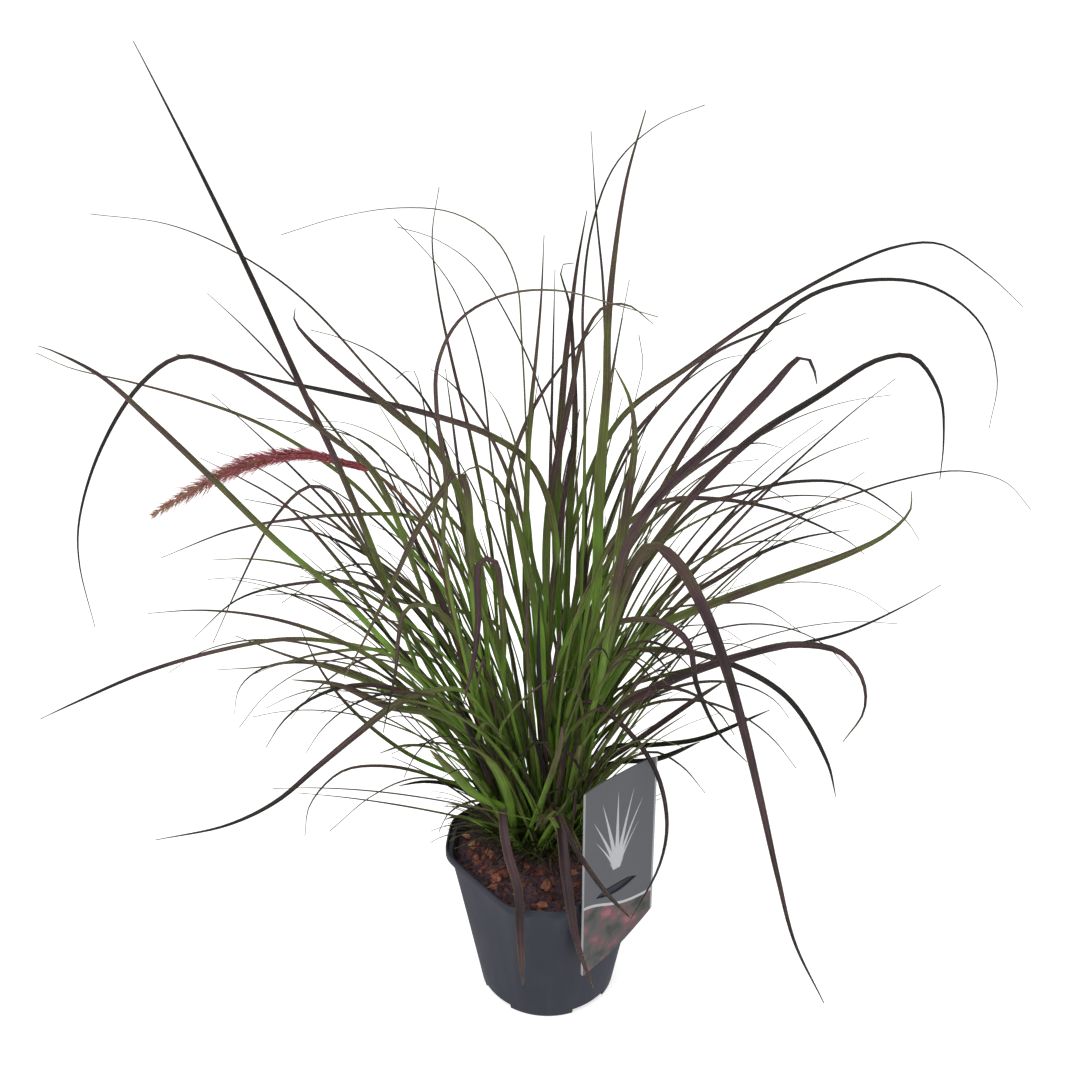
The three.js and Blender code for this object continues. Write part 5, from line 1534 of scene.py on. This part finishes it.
stands_for(skin.piece("bark_pieces", pine_bark, BARK_EDGE), "bark")

# %% The small shreds and crumbs
SHREDS = 900
SHRED_MARGIN = 3
# Half a shred's size in mm. A shred of bark is up to three times as large as a crumb of peat
SHRED_SIZE, BARK_SHARE, BARK_GROWTH = (0.6, 1.5), 0.22, (1, 3)
SHRED_BREADTH, SHRED_THICKNESS = (0.35, 0.8), (0.25, 0.6)
SHRED_LEAST, SHRED_ROUGH, SHRED_LIFT = 0.8, 0.4, 0.15
SHRED_TONE, CRUMB_TONE = (0.1, 0.75), 0.0
SHRED_SEED = 77
SHRED_EDGE = 30
small_points, small_faces = ball(1)
die = seeded_random(SHRED_SEED)
skin = Skin()
for shred in range(SHREDS):
    angle, share = die() * 2 * math.pi, math.sqrt(die())
    x, y = soil_place(angle, share, SHRED_MARGIN)
    is_bark = die() < BARK_SHARE
    size = mixed(*SHRED_SIZE, die() ** 2)
    if is_bark:
        size *= mixed(*BARK_GROWTH, die() ** 2)
    breadth, thickness = mixed(*SHRED_BREADTH, die()), mixed(*SHRED_THICKNESS, die())
    shape = size * np.array([1, breadth, thickness])
    tilt = either_way(die, 1), either_way(die, 1), die() * ANY_TURN
    turn = np.array(Euler(tilt).to_matrix())
    z = soil_height(x, y) + crumb_height(x, y) - SETTLED + size * SHRED_LIFT
    centre = np.array([x, y, z])
    points = [centre + turn @ (point * shape * (SHRED_LEAST + SHRED_ROUGH * die()))
              for point in small_points]
    skin.solid(points, small_faces, tone=mixed(*SHRED_TONE, die()) if is_bark else CRUMB_TONE)
stands_for(skin.piece("soil_shreds", pine_bark, SHRED_EDGE), "bark")

# %% [markdown]
# ## The plant label
# The label is a thin printed card of plastic. It stands outside one long side of the rim, bows
# outwards towards its long edges, and a flap cut from its lens-shaped opening hooks over the rim.
# It is made flat, cut to shape, and bent last, so that the cuts stay clean. Its print here is a
# plain design of its own: a charcoal ground, a tuft of pale blades, a pale line and a soft field
# of green and rose.

# %% The label's ground, line and field
LINE_LEVEL = 104.0
LINE_HALF = 1.1
LINE_WAVE = 9.0
printed_plastic_card, tree, shader = new_material("printed_plastic_card", roughness=0.33, ior=1.5)
card_x, card_up = (
    add(tree, "Attribute", output="Fac", attribute_name=name) for name in ("card_x", "card_up"))
# The pale line falls gently to the right along part of a wave 114 mm long
phase = add(tree, "Math", [card_x, 0.055, 0.6], operation="MULTIPLY_ADD")
wave = add(tree, "Math", [phase], operation="SINE")
lift = add(tree, "Math", [wave, LINE_WAVE], operation="MULTIPLY")
from_line = add(tree, "Math", [card_up, lift], operation="ADD")
off_line = add(tree, "Math", [from_line, LINE_LEVEL], operation="SUBTRACT")
off_line = add(tree, "Math", [off_line], operation="ABSOLUTE")
line = add(tree, "Math", [off_line, LINE_HALF], operation="LESS_THAN")
field = add(tree, "Math", [from_line, LINE_LEVEL], operation="LESS_THAN")
# Soft spots of green and rose, 14 mm across
where = add(tree, "CombineXYZ", [card_x, card_up])
cloud = add(tree, "TexNoise", {"Vector": where, "Scale": 1 / 14, "Detail": 3})
stops = [(0.32, "#363835"), (0.46, "#4e4e4d"), (0.58, "#6f4c52"), (0.74, "#a2656f")]
soft = add(tree, "ValToRGB", [cloud], stops=stops)
printed = add(tree, "Mix", {0: field, 6: linear("#58595d"), 7: soft}, 2, data_type="RGBA")
print("card's ground:", len(tree.nodes), "nodes")

# %% The label's tuft of pale blades
# It is 62 mm tall, and its blades stand 13 mm apart at the top and taper to points
TUFT_FOOT, TUFT_TOP = 128.0, 190.0
TUFT_SPREAD, TUFT_FOOT_SPREAD = 13.0, 0.7
MARGIN_START = 27.8
rise = add(tree, "MapRange", {"Value": card_up, "From Min": TUFT_FOOT, "From Max": TUFT_TOP})
spread = add(tree, "Math", [rise, 1.3], operation="POWER")
spread = add(tree, "Math", [spread, TUFT_SPREAD, TUFT_FOOT_SPREAD], operation="MULTIPLY_ADD")
place = add(tree, "Math", [card_x, spread], operation="DIVIDE")
# How far a point lies from the nearest blade's middle, in blades
aside = add(tree, "Math", [place, 0.5], operation="ADD")
aside = add(tree, "Math", [aside], operation="FRACT")
aside = add(tree, "Math", [aside, 0.5], operation="SUBTRACT")
aside = add(tree, "Math", [aside], operation="ABSOLUTE")
aside = add(tree, "Math", [aside, spread], operation="MULTIPLY")
# Outer blades end lower
lower = add(tree, "Math", [place, place], operation="MULTIPLY")
lower = add(tree, "Math", [lower, 0.055], operation="MULTIPLY")
ends = add(tree, "Math", [1.0, lower], operation="SUBTRACT")
taper = add(tree, "Math", [ends, rise], operation="SUBTRACT")
taper = add(tree, "Math", [taper, 2.3], operation="MULTIPLY")
blade = add(tree, "Math", [aside, taper], operation="LESS_THAN")
risen = add(tree, "Math", [rise, 0.0], operation="GREATER_THAN")
blade = add(tree, "Math", [blade, risen], operation="MULTIPLY")
pale = add(tree, "Math", [line, blade], operation="MAXIMUM")
printed = add(tree, "Mix", {0: pale, 6: printed, 7: linear("#b4b5b8")}, 2, data_type="RGBA")
# An unprinted margin 1.2 mm wide along the long edges
margin = add(tree, "Math", [card_x], operation="ABSOLUTE")
margin = add(tree, "Math", [margin, MARGIN_START], operation="GREATER_THAN")
printed = add(tree, "Mix", {0: margin, 6: printed, 7: linear("#9c9da0")}, 2, data_type="RGBA")
feed(shader, {"Base Color": printed})
print("card:", len(tree.nodes), "nodes")

# %% The card, flat and cut to its outline
CARD_HALF = 29
CARD_BOTTOM = 54
CARD_BOTTOM_RIGHT = 80
CARD_TOP = 203
CARD_CORNER = 4
CARD_THICK = 0.8
CARD_COLUMNS = 61
CARD_ROW = 2
TONGUE_RISE = 3
LENS_HALF = 17
LENS_RISE = 9
LENS_LEVEL = 112.5


def quadratic(start, control, end, count=16):
    shares = np.arange(1, count + 1) / count
    start, control, end = map(np.array, (start, control, end))
    return [(1 - s) ** 2 * start + 2 * s * (1 - s) * control + s * s * end for s in shares]


def prism(name, outline):
    return lofted(name, [[np.array([x, -out, up]) for x, up in outline] for out in (-4, 5)])


columns = np.linspace(-CARD_HALF - 1, CARD_HALF + 1, CARD_COLUMNS)
rings = []
for up in np.arange(CARD_BOTTOM - 2, CARD_TOP + 2.1, CARD_ROW):
    rings.append([np.array([x, -CARD_THICK, up]) for x in columns]
                 + [np.array([x, 0.0, up]) for x in reversed(columns)])
card = lofted("plant_card", rings)
left, right, bottom, top = -CARD_HALF, CARD_HALF, CARD_BOTTOM, CARD_TOP
tongue = (right / 3, bottom + TONGUE_RISE)
outline = [(left, top - 1), (left, bottom + CARD_CORNER)]
outline += quadratic(outline[-1], (left, bottom), (left + CARD_CORNER, bottom), 8)
outline += quadratic(outline[-1], tongue, (right, CARD_BOTTOM_RIGHT), 24)
outline += [(right, top - 1)]
outline += quadratic(outline[-1], (right, top), (right - 1, top), 4)
outline += [(left + 1, top)]
outline += quadratic(outline[-1], (left, top), (left, top - 0.9), 4)[:-1]
cut(card, prism("outline", outline), "INTERSECT")
lens_ends = [(-LENS_HALF, LENS_LEVEL), (LENS_HALF, LENS_LEVEL)]
lens = quadratic(lens_ends[0], (0, LENS_LEVEL - LENS_RISE), lens_ends[1])
lens += quadratic(lens_ends[1], (0, LENS_LEVEL + LENS_RISE), lens_ends[0])
cut(card, prism("lens", lens))
print("cut card:", len(card.data.polygons), "faces")

# %% The flap that hooks over the rim
HOOK_HALF = 10
FLAP_STEPS = 18
# The flap's own line, as (out, 0, up), from the card above the opening to its end inside the rim
flap = SmoothPath([(0.4, 0, 119), (0.3, 0, 116.6), (-0.4, 0, 114.7), (-1.3, 0, 114.1),
                   (-2, 0, 113.7), (-2.2, 0, 112.8), (-2.2, 0, 109.2)])
rings = []
for step in range(FLAP_STEPS + 1):
    spot, way = flap.point(step / FLAP_STEPS), flap.tangent(step / FLAP_STEPS)
    aside = np.array([-way[2], 0, way[0]]) * CARD_THICK / 2
    corners = [(-HOOK_HALF, -1), (HOOK_HALF, -1), (HOOK_HALF, 1), (-HOOK_HALF, 1)]
    sides = [(x, spot + aside * side) for x, side in corners]
    rings.append([np.array([x, -point[0], point[2]]) for x, point in sides])
hook = lofted("hook", rings[::-1])
made = bmesh.new()
made.from_mesh(hook.data)
bmesh.ops.recalc_face_normals(made, faces=made.faces)
made.to_mesh(hook.data)
made.free()
cut(card, hook, "UNION")
print("card:", len(card.data.polygons), "faces")

# %% The card, bent and stood at the pot
CARD_CENTRE = 6.5
CARD_BOW = 5
CARD_GAP = 0.3
CARD_EDGE = 30
places = np.array([corner.co for corner in card.data.vertices]) / MM
for name, column in (("card_x", places[:, 0]), ("card_up", places[:, 2])):
    layer = card.data.attributes.new(name, "FLOAT", "POINT")
    layer.data.foreach_set("value", column.astype(np.float32))
bow = CARD_BOW * np.maximum(0, (np.abs(places[:, 0]) - HOOK_HALF) / CARD_HALF) ** 2
x = places[:, 0] + CARD_CENTRE
y = places[:, 1] - bow - LONG_SIDE_REACH - CARD_GAP
# The card stands at the long side that faces between +X and -Y
diagonal = math.sqrt(0.5)
stood = np.array([(x - y) * diagonal, (x + y) * diagonal, places[:, 2]]).T * MM
card.data.vertices.foreach_set("co", stood.astype(np.float32).ravel())
card.data.materials.clear()
card.data.materials.append(printed_plastic_card)
card.data.update()
card.data.polygons.foreach_set("use_smooth", [True] * len(card.data.polygons))
card.data.set_sharp_from_angle(angle=math.radians(CARD_EDGE))
stands_for(card, "label_card", "plant_label")

# %% [markdown]
# ## The flower
# The flower is a bottlebrush: a wiry stem that carries hundreds of small spikelets, each in a tuft
# of bristles. Deep rose bristles at its base fade to pinkish brown at its tip. The bristles are
# what one sees, so each is a real tapered strand of its own length and colour, leaning towards the
# tip.

# %% Materials of the flower
reddish_stem, tree, shader = new_material("reddish_stem", roughness=0.5, ior=1.45)
place = add(tree, "TexCoord", output="Object")
# Brown and reddish patches 8 mm long
streaks = add(tree, "TexNoise", {"Vector": place, "Scale": 1 / 0.008, "Detail": 3})
stops = [(0.35, "#54402c"), (0.6, "#714c3c")]
feed(shader, {"Base Color": add(tree, "ValToRGB", [streaks], stops=stops)})

bristles, tree, shader = new_material("bristles", roughness=0.6, ior=1.45)
along, out, chance, seed = (
    add(tree, "Attribute", output="Fac", attribute_name=name)
    for name in ("along", "out", "chance", "seed"))
# From deep rose at the head's base to pinkish brown at its tip. Each bristle's outer end is
# paler: a painted highlight on the outside of the brush
stops = [(0.0, "#861d37"), (0.45, "#903a46"), (1.0, "#946b5a")]
base = add(tree, "ValToRGB", [along], stops=stops)
# The painted highlight: paler pinks for the bristles' outer ends
stops = [(0.0, "#b44a64"), (0.5, "#c27379"), (1.0, "#d0b0a1")]
ends = add(tree, "ValToRGB", [along], stops=stops)
share = add(tree, "Math", [chance, 0.6, 0.3], operation="MULTIPLY_ADD")
share = add(tree, "Math", [out, share], operation="MULTIPLY")
colour = add(tree, "Mix", {0: share, 6: base, 7: ends}, 2, data_type="RGBA")
# The spikelets are straw brown, and show more towards the tip
husk = add(tree, "Math", [along, 0.7, 0.2], operation="MULTIPLY_ADD")
husk = add(tree, "Math", [seed, husk], operation="MULTIPLY")
colour = add(tree, "Mix", {0: husk, 6: colour, 7: linear("#99855a")}, 2, data_type="RGBA")
feed(shader, {"Base Color": colour})
print("flower materials:", len(reddish_stem.node_tree.nodes), "and", len(tree.nodes), "nodes")

# %% The culm
CULM_PATH = [(470, 700), (450, 600), (426, 526), (408, 503), (384, 480)]
SPIKE_PATH = [(370, 470), (345, 463), (310, 455), (270, 458), (230, 471), (190, 492), (149, 517)]
FLOWER_DEPTH = 12
CULM_FOOT, CULM_END = 1.75, 0.95
culm_root = root_under(corners_of("flower_stem"))
above = culm_root + UP * COLLAR
flower_points = place_drawn(above, CULM_PATH + SPIKE_PATH, FLOWER_DEPTH)
culm = SmoothPath([culm_root - UP * STEM_DEPTH, above, *flower_points[:len(CULM_PATH) + 1]])
spike = SmoothPath(flower_points[len(CULM_PATH):])


def ring_across(tangent, side, middle, radius, angles):
    other = np.cross(tangent, side)
    return [middle + (side * math.cos(a) + other * math.sin(a)) * radius for a in angles]


def rod(skin, path, radius_at, steps, sides, end=1.0, **values):
    """A round rod along a path. Its radius depends on the share of its own length."""
    angles = [corner / sides * 2 * math.pi for corner in range(sides)]
    rings = []
    for step in range(steps + 1):
        share = end * (step / steps)
        tangent = path.tangent(share)
        side = unit(np.cross([0, 1, 0], tangent))
        rings.append(ring_across(tangent, side, path.point(share), radius_at(step / steps), angles))
    skin.loft(rings, **values)


skin = Skin()
rod(skin, culm, lambda share: mixed(CULM_FOOT, CULM_END, share), 60, 12)
stands_for(skin.piece("flower_culm", reddish_stem), "flower_culm", "flower_stem")

# %% The form of the head and of a bristle
BRISTLE_LENGTH = 12
BRISTLE_RADIUS = 0.24
STRAND_TAPER = 0.8
# Turns of a strand's three sides, and a small lean, for a strand that points straight up
THIRDS = (0, 2.0944, 4.1888)
NEARLY_UP = 1e-3
HEAD_CORE, HEAD_SWELL = 0.5, 0.7


def swell(share):
    """How full the head is at a share of its length: narrow at its foot, pointed at its tip."""
    opening = mixed(0.3, 1, smooth_step(share, -0.05, 0.5))
    return opening * (1 - 0.7 * smooth_step(share, 0.66, 1.02))


def strand(skin, points, radius, **values):
    """A thin strand through points: a three-sided loft that tapers to its end."""
    rings = []
    for index, point in enumerate(points):
        ahead = unit(points[min(index + 1, len(points) - 1)] - points[max(index - 1, 0)])
        side = unit(np.cross(ahead, UP + NEARLY_UP))
        size = radius * (1 - STRAND_TAPER * index / (len(points) - 1))
        rings.append(ring_across(ahead, side, point, size, THIRDS))
    skin.loft(rings, **values)


print("the head is fullest in its middle:", [round(swell(s), 2) for s in (0, 0.5, 1)])

# %% The spike
SPIKELETS = 300
# A spikelet's husk: half its length, breadth and thickness in mm, and how far out it sits
HUSK = np.array([2.1, 0.6, 0.55])
HUSK_OUT, HUSK_LEAN = 1.6, (0.3, 0.55)
# Husks sit between these shares of the head, closer towards its foot, and are smaller at its tip
HEAD_SPAN, HEAD_CROWDING, HUSK_SHRINKS = (0.004, 0.975), 1.35, 0.45
BRISTLE_LEAN, BRISTLE_ASIDE = (0.3, 0.8), 0.5
# How much of the head's own direction is in a bristle's first and in its second half
FIRST_AHEAD, SECOND_AHEAD = 0.85, 1.1
FULL_TUFT, THIN_TUFT, LAST_TUFT = 8, 5, 3
SPIKE_SEED = 5100


def tuft_size(share):
    """How many bristles a spikelet has at a share of the head's length."""
    return FULL_TUFT if share < 0.6 else THIN_TUFT if share < 0.8 else LAST_TUFT


die = seeded_random(SPIKE_SEED)
skin = Skin()
rod(skin, spike, lambda share: HEAD_CORE + HEAD_SWELL * swell(share), 40, 8, 0.985,
    along=0.3, out=0.3, chance=0.5, seed=1.0)
for number in range(SPIKELETS):
    share = mixed(*HEAD_SPAN, ((number + die()) / SPIKELETS) ** HEAD_CROWDING)
    spot, tangent = spike.point(share), spike.tangent(share)
    side = unit(np.cross([0, 1, 0], tangent))
    outward = turned_about(side, tangent, number * GOLDEN_TURN + die())
    full = swell(share)
    way = unit(tangent + outward * mixed(*HUSK_LEAN, die()))
    centre = spot + outward * (HEAD_CORE + HEAD_SWELL * full) + way * HUSK_OUT
    across = unit(np.cross(way, outward))
    turn = np.array([way, across, np.cross(way, across)]).T
    husk_size = HUSK * (1 - HUSK_SHRINKS * smooth_step(share, 0.8, 1))
    points = [centre + turn @ (point * husk_size) for point in small_points]
    skin.solid(points, small_faces, along=share, out=0.5 * die(), chance=die(), seed=1.0)
    # Bristles lie close to the head's line at its foot and at its tip
    spread = mixed(0.4, 1, smooth_step(share, 0, 0.5)) * (1 - 0.6 * smooth_step(share, 0.88, 1))
    for bristle in range(tuft_size(share)):
        lean = outward * mixed(*BRISTLE_LEAN, die()) * spread
        lean += across * (die() - 0.5) * BRISTLE_ASIDE
        first = spot + outward * (0.3 + 0.5 * full)
        length = BRISTLE_LENGTH * mixed(0.3, 1, full) * mixed(0.6, 1.05, die() ** 0.7)
        middle = first + unit(tangent * FIRST_AHEAD + lean) * length * 0.5
        tip = middle + unit(tangent * SECOND_AHEAD + lean) * length * 0.5
        strand(skin, [first, middle, tip], BRISTLE_RADIUS, along=share, chance=die(), seed=0.0,
               out=[0.0] * 3 + [0.5] * 3 + [1.0] * 3)
stands_for(skin.piece("bristly_spike", bristles), "flower_bristles", "flower_spike")

# %% [markdown]
# ## The studio
# The photograph shows the plant on a white sweep in soft light from all sides, a little stronger
# from above. A wide pale floor, a bright world and a few large area lights give the same calm
# shadows.

# %% Floor and world
FLOOR_REACH = 40
SWEEP_GLOW = 0.58
WORLD_SEEN, WORLD_LIGHT = 1.05, 0.45
WHITE = (1, 1, 1, 1)
matt_paper, tree, shader = new_material("matt_paper", roughness=0.8)
# A studio's sweep is lit on its own, so it stays white where the plant's light is dimmer
feed(shader, {"Base Color": linear("#f2f2f2"), "Emission Color": WHITE,
              "Emission Strength": SWEEP_GLOW})
mesh = bpy.data.meshes.new("studio_floor")
corners = [(-1, -1), (1, -1), (1, 1), (-1, 1)]
mesh.from_pydata([(x * FLOOR_REACH, y * FLOOR_REACH, 0) for x, y in corners], [], [(0, 1, 2, 3)])
mesh.materials.append(matt_paper)
floor = bpy.data.objects.new("studio_floor", mesh)
bpy.context.scene.collection.objects.link(floor)
# Dark leaves don't mirror the bright floor
floor.visible_glossy = False

world = bpy.data.worlds.new("studio")
bpy.context.scene.world = world
world.use_nodes = True
# White where it is seen, and dimmer as a light
seen = add(world.node_tree, "LightPath", output="Is Camera Ray")
strength = add(world.node_tree, "Math", [seen, WORLD_SEEN - WORLD_LIGHT, WORLD_LIGHT],
               operation="MULTIPLY_ADD")
feed(world.node_tree.nodes["Background"], {"Color": WHITE, "Strength": strength})
print("floor:", 2 * FLOOR_REACH, "m wide")

# %% Lights


def area_light(name, size, power, place, target=(0, 0, 0.25)):
    """A square lamp of a size in metres and a power in watts, turned towards a target."""
    lamp = bpy.data.lights.new(name, "AREA")
    lamp.size = size
    lamp.energy = power
    made = bpy.data.objects.new(name, lamp)
    made.location = place
    made.rotation_euler = (Vector(target) - Vector(place)).to_track_quat("-Z", "Y").to_euler()
    bpy.context.scene.collection.objects.link(made)


area_light("soft_key", 1.6, 27, (-1.0, -1.3, 2.0))
area_light("soft_fill", 1.8, 9, (1.6, -0.8, 1.2))
area_light("soft_top", 1.5, 12, (0.2, 0.9, 2.2))
bpy.context.scene.view_settings.view_transform = "Standard"
